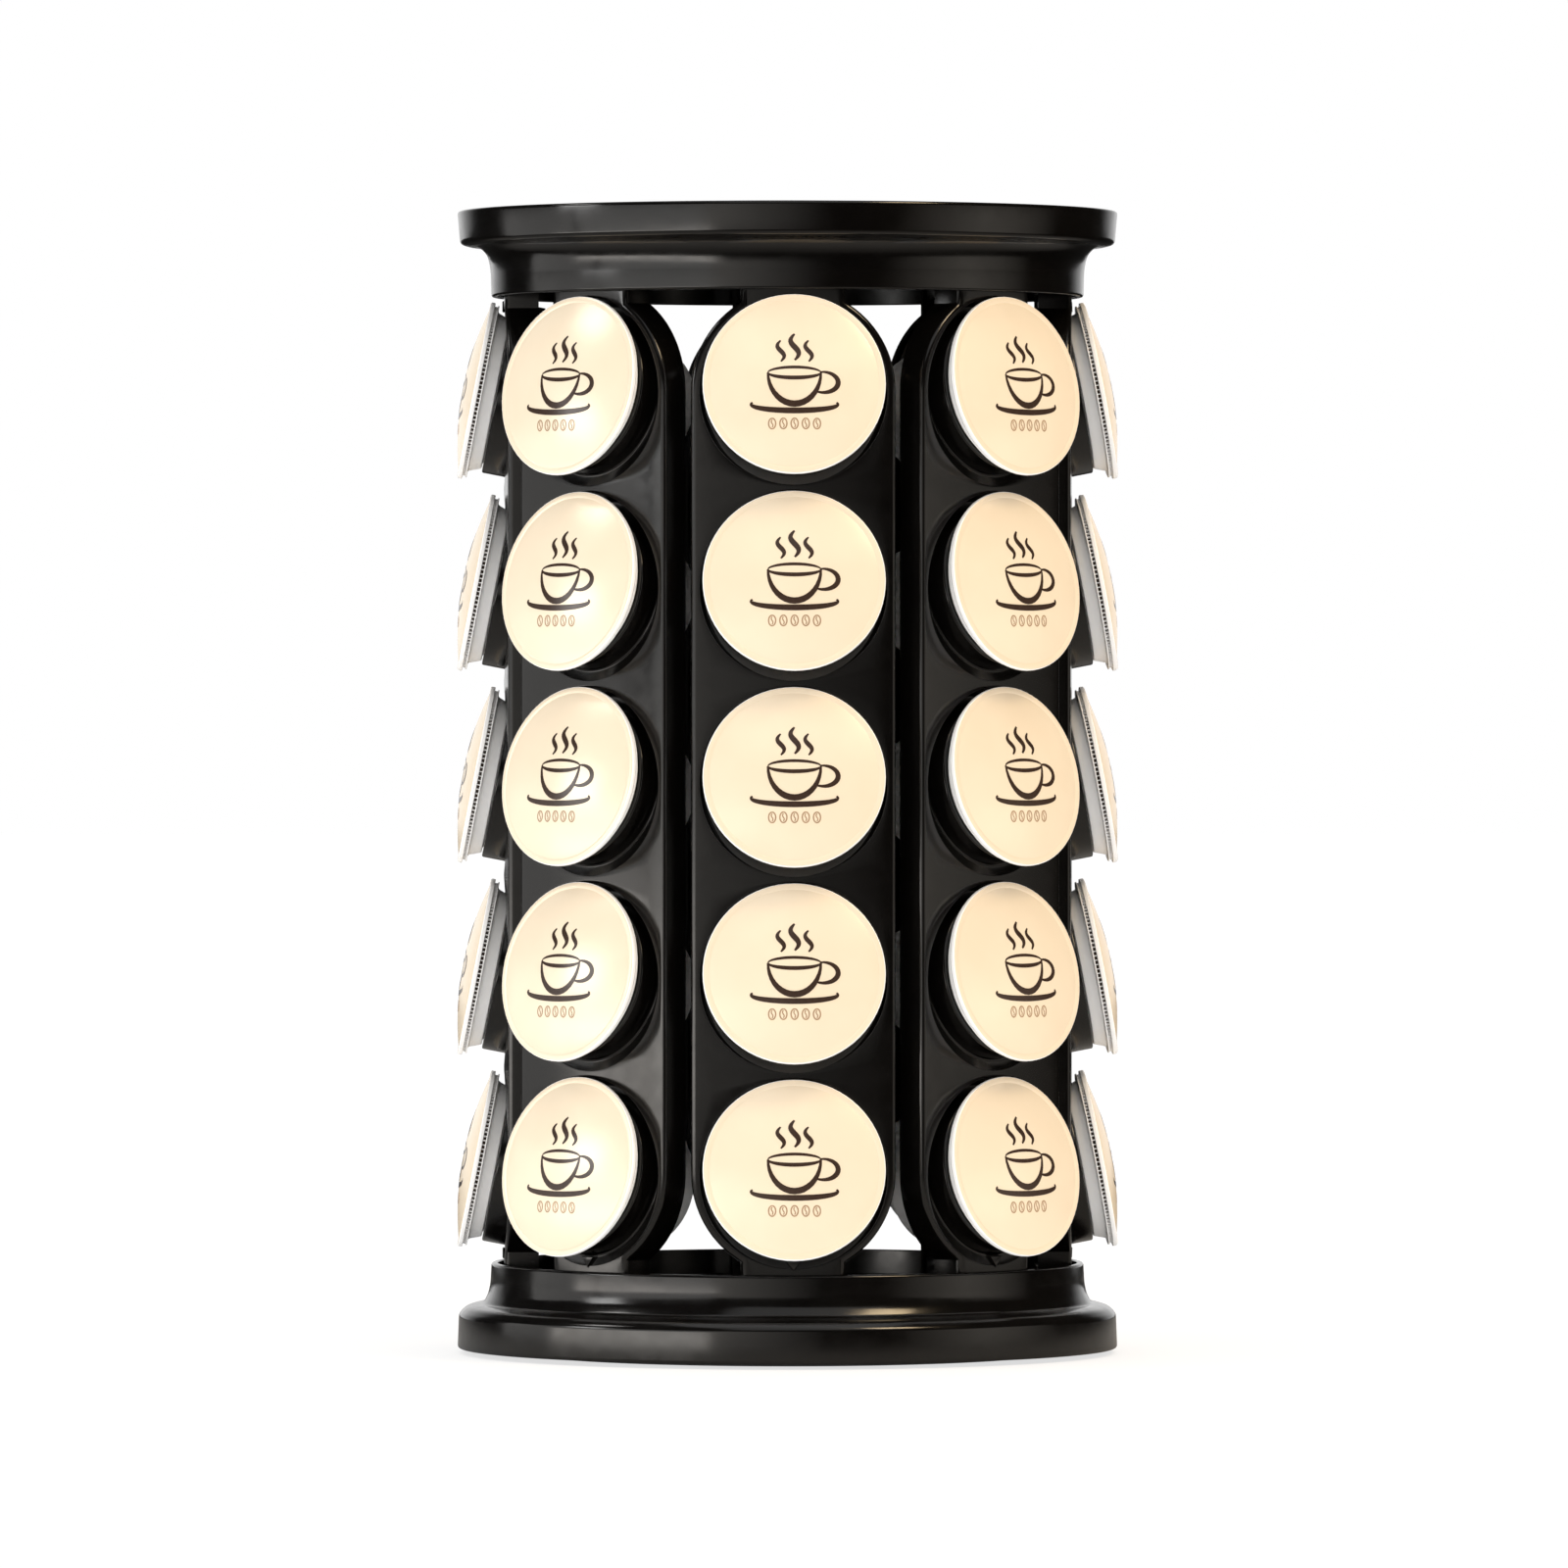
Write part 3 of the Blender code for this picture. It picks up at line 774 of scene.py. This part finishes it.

# %% [markdown]
# The capsule's cup
#
# The cup is one thin moulding of white plastic: a rounded rim, a short conical neck, a shoulder that rests on
# the collar, and a tapered body. Behind the rim's smooth band runs a groove with small ribs across it. A dark
# band at the groove's bottom is painted shade, so that the groove looks like a dotted line from the side. The
# cup is turned once about its own axis and then copied to every pocket.

# %% Turn the cup
neck_top, neck_low = 24.3 * mm, 22.8 * mm
shoulder_out, foot_out = -5.9 * mm, -36.0 * mm
band_low, lip_high, lip_low = -0.65 * mm, -1.55 * mm, -1.95 * mm
groove_radius, lip_radius = 24.6 * mm, 26.3 * mm
rib_count, rib_half, rib_out = 120, 0.13 * mm, 25.9 * mm
rib_sunk, shade_band_sunk, shade_band_depth = 0.1 * mm, 0.05 * mm, 0.5 * mm
capsule_sides = 72


def cup_mesh():
    foil_bed, foot_hollow = rim_half - 0.25 * mm, foot_out + 1.0 * mm
    cup = turned("cup", [
        (0, foil_bed, 0), (26.6 * mm, foil_bed, 0.05 * mm),
        (26.7 * mm, rim_half, 0.05 * mm), (26.85 * mm, rim_half, 0.07 * mm),
        (rim_radius, rim_half - 0.3 * mm, 0.15 * mm), (rim_radius, band_low, 0.2 * mm),
        (groove_radius, band_low, 0.1 * mm), (groove_radius, lip_high, 0.1 * mm),
        (lip_radius, lip_high, 0.1 * mm), (lip_radius, lip_low, 0.15 * mm),
        (neck_top, lip_low, 0.6 * mm), (neck_low, shoulder_out, 0.5 * mm),
        (20.9 * mm, shoulder_out, 0.7 * mm), (18.0 * mm, foot_out, 1.6 * mm),
        (15.5 * mm, foot_out, 0.8 * mm), (14.8 * mm, foot_hollow, 0.6 * mm), (0, foot_hollow, 0)],
        capsule_sides, cup_finish, steps=4)
    inner = groove_radius - 2 * rib_sunk
    rib = block("rib", (inner, -rib_half, lip_high - rib_sunk), (rib_out, rib_half, band_low + rib_sunk),
                cup_finish)
    # The dark band at the groove's bottom is painted shade, where the groove's own shadow falls.
    outer, low, high = groove_radius + shade_band_depth, lip_high - shade_band_sunk, band_low + shade_band_sunk
    band = [(inner, low, 0), (outer, low, 0), (outer, high, 0), (inner, high, 0)]
    painted_shade_band = turned("painted_shade_band", band, capsule_sides, dark_ink_and_painted_shade)
    return merged("cup", [cup, repeated("ribs", rib, rib_count), painted_shade_band])


cup = cup_mesh()
print("cup faces:", len(cup.polygons))

# %% [markdown]
# The foil lid and its print
#
# The foil is sealed to the rim in a flat ring and bulges over the coffee. The real print is a maker's, so a
# plain drawing of a steaming cup takes its place, about as large and as dark. Strokes like a pen's are drawn
# as curves with a width at every point. A node tree gives them a flat section and lays them on the dome, so
# the print follows the bulge like ink and stays crisp at any distance.

# %% Turn the foil
foil_radius, foil_rise = 26.75 * mm, 3.5 * mm
seal_width, foil_edge = 1.9 * mm, 0.78 * mm
dome_radius, dome_rise = foil_radius - seal_width, foil_rise + rim_half - foil_edge
dome_steps = 14


def foil_mesh():
    """A dome, a shallow groove where the foil is sealed to the rim, and its flat edge."""
    outline = [(dome_radius * share, foil_edge + dome_rise * (1 - share ** 2))
               for share in shares(dome_steps)]
    outline += [(dome_radius + 0.25 * mm, foil_edge - 0.08 * mm),
                (dome_radius + 0.5 * mm, foil_edge), (foil_radius - 0.1 * mm, foil_edge),
                (foil_radius, foil_edge - 0.06 * mm), (foil_radius, foil_edge - 0.16 * mm),
                (0, foil_edge - 0.16 * mm)]
    return turned("foil", [(*spot, 0) for spot in outline], capsule_sides, foil_finish)


foil = foil_mesh()
print("foil faces:", len(foil.polygons))

# %% Build the print tree
ink_height, pen_width = 0.05 * mm, 1.0 * mm


def print_tree():
    """Strokes get a flat section and are lifted onto the dome."""
    tree, sizes = tree_with("print", {"Dome rise": "Float", "Dome radius": "Float", "Dome edge": "Float"})
    section = added(tree, "GeometryNodeCurvePrimitiveQuadrilateral",
                    {"Width": pen_width, "Height": 2 * ink_height})
    sweep = added(tree, "GeometryNodeCurveToMesh", {"Curve": sizes["Start"], "Profile Curve": section,
                                                    "Scale": added(tree, "GeometryNodeInputRadius"),
                                                    "Fill Caps": True})
    place = added(tree, "GeometryNodeInputPosition")
    flat = added(tree, "ShaderNodeVectorMath", {0: place, 1: (1, 1, 0)}, "MULTIPLY")
    length = added(tree, "ShaderNodeVectorMath", {0: flat}, "LENGTH").outputs["Value"]
    share = maths(tree, "DIVIDE", length, sizes["Dome radius"])
    fall = maths(tree, "SUBTRACT", 1.0, maths(tree, "MULTIPLY", share, share))
    rise = maths(tree, "MULTIPLY_ADD", fall, sizes["Dome rise"], sizes["Dome edge"])
    lift = added(tree, "ShaderNodeCombineXYZ", {"Z": rise})
    lay = added(tree, "GeometryNodeSetPosition", {"Geometry": sweep, "Offset": lift})
    return finish_tree(tree, sizes, lay)


printing = print_tree()


def printed(name, strokes, finish):
    """Strokes laid on the dome as a thin layer of ink."""
    sizes = {"Dome rise": dome_rise, "Dome radius": dome_radius, "Dome edge": foil_edge, "Finish": finish}
    return cleaned(grown(printing, name, curve_of(name, strokes, False), sizes), weld=0.0002 * mm)


print("print inputs:", list(sockets_of(printing)))

# %% [markdown]
# Drawing the steaming cup
#
# Every stroke is a formula: arcs for the cup and its handle, an ellipse for the saucer, and sine waves for
# the steam. The width swells in the middle of a stroke and thins out at its ends, as a pen's does.

# %% Strokes of the drawing
thin_end = 0.35


def pen(points, width, ends=thin_end):
    """A stroke through points in millimetres. Its width swells from a share of itself at the ends."""
    return [(x * mm, y * mm, width * (ends + (1 - ends) * sin(pi * share)))
            for share, (x, y) in zip(shares(len(points) - 1), points)]


def swept(centre, across, up, first, last, steps=18):
    """Points on part of an ellipse, between two angles in degrees."""
    turns = [radians(first + (last - first) * share) for share in shares(steps)]
    return [(centre[0] + across * cos(turn), centre[1] + up * sin(turn)) for turn in turns]


def steam(x, low, high, sway, steps=18):
    """Points on one upright wave."""
    return [(x + sway * sin(2 * pi * share), low + (high - low) * share) for share in shares(steps)]


def cup_drawing():
    """Strokes of a steaming cup on its saucer, measured in millimetres on the lid."""
    mouth, brim, depth = 7.8, 2.6, 9.4
    return [
        pen(swept((0, brim), mouth, depth, 180, 360), 1.9),
        pen(swept((0, brim), mouth, 1.6, 0, 180), 0.9),
        pen(swept((0, brim), mouth, 1.6, 180, 360), 1.2),
        pen(swept((8.4, brim - 2.9), 4.5, 3.1, 98, -118), 1.5),
        pen(swept((0, brim - depth), 12.8, 2.0, 165, 375, 24), 1.7),
        pen(steam(-4.0, brim + 3.3, brim + 9.8, 1.0), 1.4),
        pen(steam(0.1, brim + 3.7, brim + 11.8, 1.2), 1.7),
        pen(steam(4.2, brim + 3.3, brim + 9.8, 1.0), 1.4),
    ]


def bean_row():
    """Five coffee beans under the drawing: a small even oval each, with the bean's curved slit."""
    half_width, half_height, half_slit, spacing, height = 1.05, 1.55, 1.1, 3.3, -12.6
    strokes = []
    for place in range(-2, 3):
        x = place * spacing
        strokes.append(pen(swept((x, height), half_width, half_height, 90, 449, 16), 0.42, 1.0))
        strokes.append(pen(steam(x, height - half_slit, height + half_slit, 0.25, 8), 0.36, 1.0))
    return strokes


dark_print = printed("dark_print", cup_drawing(), dark_ink_and_painted_shade)
tan_print = printed("tan_print", bean_row(), tan_ink)
lid = merged("lid", [foil, dark_print, tan_print])
print("lid faces:", len(lid.polygons), "of which print:", len(dark_print.polygons) + len(tan_print.polygons))

# %% Set forty capsules
for side in range(1, panel_count + 1):
    for row in range(1, row_count + 1):
        pocket, body = pocket_frame(side, row), f"capsule_{side}_{row}"
        show(f"cup_{side}_{row}", moved(cup, pocket), body, "capsule_cup", body)
        show(f"lid_{side}_{row}", moved(lid, pocket), body, "lid_foil")
print("capsules set:", panel_count * row_count)

# %% [markdown]
# The turntable under the tower
#
# A foot disc stands on the table on a rubber ring. Two pressed steel races with a groove each hold a cage of
# balls between them, a riveted pivot keeps the halves together, and four screws hold the upper race to
# bosses under the deck. All of it but the balls is turned, and balls and screws are repeated round the axis.

# %% Turn the foot disc and the rubber ring
disc_low, disc_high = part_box("foot_disc")
grip_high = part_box("rubber_foot_ring")[1]
lower_low, lower_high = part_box("lower_race_plate")
cage_low, cage_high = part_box("ball_ring")
pivot_low, pivot_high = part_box("centre_pivot")
gap = 0.3 * mm
pivot_radius, head_radius, collar_ring = 3.0 * mm, pivot_high.x, 5.0 * mm
grip_width = 8.0 * mm
recess = grip_high.z + gap
disc_sides, race_sides, pivot_sides, screw_sides = 128, 96, 48, 24


def foot_disc_mesh():
    groove_in, groove_out = grip_high.x - grip_width - gap, grip_high.x + gap
    return turned("foot_plate", [
        (pivot_radius + gap, recess, 0), (head_radius + gap, recess, 0.2 * mm),
        (head_radius + gap, disc_low.z, 0.3 * mm), (groove_in, disc_low.z, 0.3 * mm),
        (groove_in, recess, 0.1 * mm), (groove_out, recess, 0.1 * mm), (groove_out, disc_low.z, 0.3 * mm),
        (disc_high.x, disc_low.z, 0.8 * mm), (disc_high.x, disc_high.z, 0.8 * mm),
        (pivot_radius + gap, disc_high.z, 0.2 * mm)], disc_sides, shell)


def grip_mesh():
    inner, outer, top = grip_high.x - grip_width, grip_high.x, grip_high.z
    dip = 0.25 * mm
    middle = inner + grip_width / 2
    return turned("grip_ring", [
        (inner, 0, 0.3 * mm), (middle - 0.8 * mm, 0, 0.2 * mm), (middle - 0.5 * mm, dip, 0.1 * mm),
        (middle + 0.5 * mm, dip, 0.1 * mm), (middle + 0.8 * mm, 0, 0.2 * mm), (outer, 0, 0.3 * mm),
        (outer, top, 0.2 * mm), (inner, top, 0.2 * mm)], disc_sides, rubber, steps=3)


show("foot_plate", foot_disc_mesh(), "stand", "black_shell", "foot_disc")
show("grip_ring", grip_mesh(), "stand", "foot_rubber", "rubber_foot_ring")
print("foot disc and rubber ring turned; recess up to", round(recess / mm, 2), "mm above the table")

# %% Turn the races
race_circle = 50.0 * mm
plate_gauge, ridge = 1.2 * mm, 1.0 * mm


def race_mesh(name, flat, way):
    """A pressed plate: one flat side and, up or down from it, two ridges beside the ball groove."""
    race, rise = flat + way * plate_gauge, way * ridge
    bumps = [(-4.6, 0), (-3.8, rise), (-2.4, rise), (-1.2, 0), (1.2, 0), (2.4, rise), (3.8, rise), (4.6, 0)]
    corners = [(pivot_radius + gap, flat, 0.2 * mm), (pivot_radius + gap, race, 0.2 * mm)]
    corners += [(race_circle + step * mm, race + up, 0.3 * mm) for step, up in bumps]
    corners += [(lower_high.x, race, 0.3 * mm), (lower_high.x, flat, 0.3 * mm)]
    return turned(name, corners, race_sides, steel, steps=3)


still_race = race_mesh("still_race", lower_low.z, 1)
show("still_race", still_race, "stand", "bearing_steel", "lower_race_plate")
turning_race = race_mesh("turning_race", race_high.z, -1)
show("turning_race", turning_race, "tower", "bearing_steel", "upper_race_plate")
print("races turned:", len(still_race.polygons) + len(turning_race.polygons), "faces")

# %% Turn the cage, its balls, the pivot and the screws
ball_middle = (cage_low.z + cage_high.z) / 2
ball_radius = (cage_high.z - cage_low.z) / 2
ball_count = 8
cage_half, cage_gauge = 3.8 * mm, 2.0 * mm


def ball_cage():
    corners = [(race_circle + across * cage_half, ball_middle + up * cage_gauge / 2, 0.3 * mm)
               for across, up in ((-1, -1), (1, -1), (1, 1), (-1, 1))]
    bm = bmesh.new()
    bmesh.ops.create_uvsphere(bm, u_segments=24, v_segments=14, radius=ball_radius,
                              matrix=Matrix.Translation((race_circle, 0, ball_middle)))
    balls = repeated("balls", cleaned(mesh_of("ball", bm, steel)), ball_count)
    return merged("ball_cage", [turned("cage", corners, race_sides, steel), balls])


def pivot_mesh():
    """A rivet with a head at each end and a collar that keeps the two races apart."""
    foot, top, head = pivot_low.z, pivot_high.z, 1.1 * mm
    low, high = lower_low.z + plate_gauge + gap, race_high.z - plate_gauge - gap
    return turned("pivot", [
        (0, foot, 0), (head_radius, foot, 0.4 * mm), (head_radius, foot + head, 0.1 * mm),
        (pivot_radius, foot + head, 0.1 * mm), (pivot_radius, low, 0), (collar_ring, low, 0.2 * mm),
        (collar_ring, high, 0.2 * mm), (pivot_radius, high, 0), (pivot_radius, top - head, 0.1 * mm),
        (head_radius, top - head, 0.1 * mm), (head_radius, top, 0.5 * mm), (0, top, 0)], pivot_sides, steel)


def screw_mesh():
    """A pan-head screw: a plain domed head and a shank with rolled threads."""
    head_low, head_high, tip = screw_low.z, screw_low.z + 1.4 * mm, screw_high.z
    head, shank, thread, turns = 2.4 * mm, 1.2 * mm, 0.18 * mm, 5
    corners = [(0, head_low, 0), (head, head_low, 0.6 * mm), (head, head_high, 0.1 * mm)]
    pitch = (tip - head_high) / (turns + 1)
    for step in range(turns):
        height = head_high + pitch * (step + 0.5)
        corners += [(shank - thread, height, 0), (shank, height + pitch / 2, 0)]
    corners += [(shank - thread, tip - 0.2 * mm, 0), (0, tip, 0)]
    return moved(turned("screw", corners, screw_sides, steel, steps=3), screw_place)


show("ball_cage", ball_cage(), "rollers", "bearing_steel", "ball_ring")
show("pivot", pivot_mesh(), "stand", "bearing_steel", "centre_pivot")
screws = repeated("screws", screw_mesh(), screw_count)
show("screws", screws, "tower", "bearing_steel",
     *[f"race_screw_{index}" for index in range(1, screw_count + 1)])
print("turntable set:", ball_count, "balls,", screw_count, "screws")

# %% [markdown]
# Floor, light and camera
#
# The photograph shows the tower on pure white with no horizon. The world is white to the camera. To
# reflections it is a white backdrop behind the tower and a dark room elsewhere, and to everything else it
# gives even light that is warmer from the right. The floor keeps the tower's shadow near its foot, fades into
# the white further out, and sends plain light up under rims and rings as a white table does.

# %% World
white, black = (1.0, 1.0, 1.0), (0.0, 0.0, 0.0)
left_light, right_light = (0.96, 0.95, 0.93), (1.15, 0.92, 0.66)
room_dark = (0.01, 0.01, 0.01)
backdrop_start, backdrop_full = 0.80, 0.97


def studio_world():
    world = bpy.data.worlds.new("studio")
    world.use_nodes = True
    bpy.context.scene.world = world
    tree = world.node_tree
    place = added(tree, "ShaderNodeTexCoord").outputs["Generated"]
    way = added(tree, "ShaderNodeSeparateXYZ", {0: place}).outputs
    side_light = between(tree, way["X"], left_light, right_light, 0.0, 1.0)
    backdrop = between(tree, way["Y"], room_dark, white, backdrop_start, backdrop_full)
    shown = tree.nodes["Background"]
    feed(shown, {"Color": (*white, 1)})
    lit = added(tree, "ShaderNodeBackground", {"Color": side_light})
    mirrored = added(tree, "ShaderNodeBackground", {"Color": backdrop})
    rays = added(tree, "ShaderNodeLightPath").outputs
    seen = maths(tree, "MAXIMUM", rays["Is Camera Ray"], rays["Is Transmission Ray"])
    plain = added(tree, "ShaderNodeMixShader", {"Fac": rays["Is Glossy Ray"], 1: lit, 2: mirrored})
    final = added(tree, "ShaderNodeMixShader", {"Fac": seen, 1: plain, 2: shown})
    feed(tree.nodes["World Output"], {"Surface": final})


studio_world()
print("world:", bpy.context.scene.world.name)

# %% Floor
floor_half, shadow_reach, fade_end = 12.0, 0.15, 0.9
floor_grey, floor_bounce, near_glow = 0.30, 1.1, 0.70


def pale_floor():
    """A floor that keeps the tower's shadow and turns pure white further out."""
    grey = (floor_grey, floor_grey, floor_grey)
    finish, tree, shader = material_with("floor", grey, 0.9)
    place = added(tree, "ShaderNodeTexCoord").outputs["Object"]
    reach = added(tree, "ShaderNodeVectorMath", {0: place}, "LENGTH").outputs["Value"]
    feed(shader, {"Base Color": between(tree, reach, grey, black, shadow_reach, fade_end)})
    rays = added(tree, "ShaderNodeLightPath").outputs
    whiteness = spread(tree, reach, near_glow, 1.0, shadow_reach, fade_end)
    to_camera = maths(tree, "MULTIPLY", rays["Is Camera Ray"], whiteness)
    strength = maths(tree, "MULTIPLY_ADD", rays["Is Diffuse Ray"], floor_bounce, to_camera)
    glow = added(tree, "ShaderNodeEmission", {"Strength": strength})
    both = added(tree, "ShaderNodeAddShader", {0: shader, 1: glow})
    feed(tree.nodes["Material Output"], {"Surface": both})
    mesh = bpy.data.meshes.new("floor")
    corners = [(x * floor_half, y * floor_half, 0) for x, y in ((-1, -1), (1, -1), (1, 1), (-1, 1))]
    mesh.from_pydata(corners, [], [(0, 1, 2, 3)])
    mesh.materials.append(finish)
    floor = thing_of("floor", mesh)


pale_floor()
print("floor:", 2 * floor_half, "m wide, white from", fade_end, "m on")

# %% [markdown]
# Soft lamps
#
# Black gloss shows little but what stands round it, so each lamp is placed for the streak that it draws. Low
# panels on the left and in front and a dimmer, warmer one on the right draw the grey bands on rings and
# panels. Two of them fade towards their ends, because a lamp's edge would show as a hard line. A strip near
# the table lights the base's flange. One panel above the camera lights the foil lids, and a small lamp low on
# the left gives them their sheen. A lamp higher up on the left draws the pale streak in the base's cove, a
# small warm one on the right draws the golden one, and one overhead draws the rings' edges.

# %% Set the lamps
dies_away, both_ends = (0.01, 0.99), (0.5, 0.5)


def faded(light, rise, fall):
    """Let a lamp grow over one share of its width and die away over another, from left to right."""
    light.use_nodes = True
    tree = light.node_tree
    place = added(tree, "ShaderNodeNewGeometry").outputs["Parametric"]
    across = added(tree, "ShaderNodeSeparateXYZ", {0: place}).outputs["X"]
    strength = maths(tree, "MULTIPLY", spread(tree, across, 0.0, 1.0, 0.0, rise),
                     spread(tree, across, 1.0, 0.0, 1.0 - fall, 1.0))
    feed(tree.nodes["Emission"], {"Strength": strength})


def soft_lamp(name, azimuth, elevation, distance, width, height, radiance, colour):
    """A flat lamp that faces the tower, at angles in degrees: azimuth 0 is in front and 90 on the right."""
    light = bpy.data.lights.new(name, "AREA")
    light.shape = "RECTANGLE"
    light.size, light.size_y = width, height
    light.energy = radiance * pi * width * height
    light.color = colour
    lamp = thing_of(name, light)
    turn, tip = radians(azimuth), radians(elevation)
    away = Vector((sin(turn) * cos(tip), -cos(turn) * cos(tip), sin(tip)))
    lamp.location = Vector((0, 0, middle_height)) + distance * away
    lamp.rotation_euler = away.to_track_quat("Z", "Y").to_euler()
    return light


# Name, azimuth, elevation, distance, width, height, radiance and colour of each lamp.
soft_lamp("left_panel", -53, -1, 1.1, 0.95, 0.36, 1.1, (1.0, 0.99, 0.96))
soft_lamp("left_back_panel", -97, -1, 1.1, 0.72, 0.36, 0.8, (1.0, 0.98, 0.95))
faded(soft_lamp("left_front_panel", -9, 0, 1.5, 1.15, 0.45, 1.0, (1.0, 0.95, 0.88)), *dies_away)
soft_lamp("left_strip", -58, -6.5, 1.1, 1.30, 0.14, 2.8, (1.0, 0.94, 0.87))
faded(soft_lamp("right_panel", 70, -1, 1.2, 1.60, 0.36, 0.75, (1.0, 0.92, 0.81)), *both_ends)
soft_lamp("lid_panel", 10, 48, 1.5, 1.50, 0.90, 0.52, (1.0, 1.0, 0.99))
soft_lamp("left_sheen_lamp", -76, 12, 1.2, 0.32, 0.20, 5.5, (1.0, 1.0, 0.99))
soft_lamp("left_cove_lamp", -86, 40, 1.3, 0.30, 0.22, 6.0, (1.0, 0.98, 0.95))
soft_lamp("overhead_panel", 0, 88, 1.3, 1.20, 1.20, 0.7, (1.0, 1.0, 1.0))
soft_lamp("warm_key", 46, 45, 1.4, 0.38, 0.38, 12.0, (1.0, 0.76, 0.46))

# %% [markdown]
# The camera
#
# The photograph was taken from far away with a long lens: near and far lids differ little in size, and the
# rings show only thin ellipses. Where the flanges' ellipses vanish gives the camera's height, and the lids'
# sizes give its distance.

# %% Place the camera
camera_distance, camera_height = 3.9, 207 * mm
camera_turn, camera_tilt = radians(-1.2), radians(0.52)
image_size, sensor = 1600, 36.0
pixels_per_metre = 3380
axis_column = 803.5

data = bpy.data.cameras.new("camera")
data.sensor_width = sensor
data.lens = pixels_per_metre * camera_distance * sensor / image_size
data.clip_end = 60.0
camera = thing_of("camera", data)
aside = (axis_column - image_size / 2) / pixels_per_metre
right = Vector((cos(camera_turn), sin(camera_turn), 0))
back_off = Vector((sin(camera_turn), -cos(camera_turn), 0))
camera.location = camera_distance * back_off - aside * right + Vector((0, 0, camera_height))
camera.rotation_euler = (pi / 2 - camera_tilt, 0, camera_turn)
bpy.context.scene.camera = camera
bpy.context.scene.view_settings.view_transform = "Standard"
print("lens", round(data.lens, 1), "mm at", camera_distance, "m")
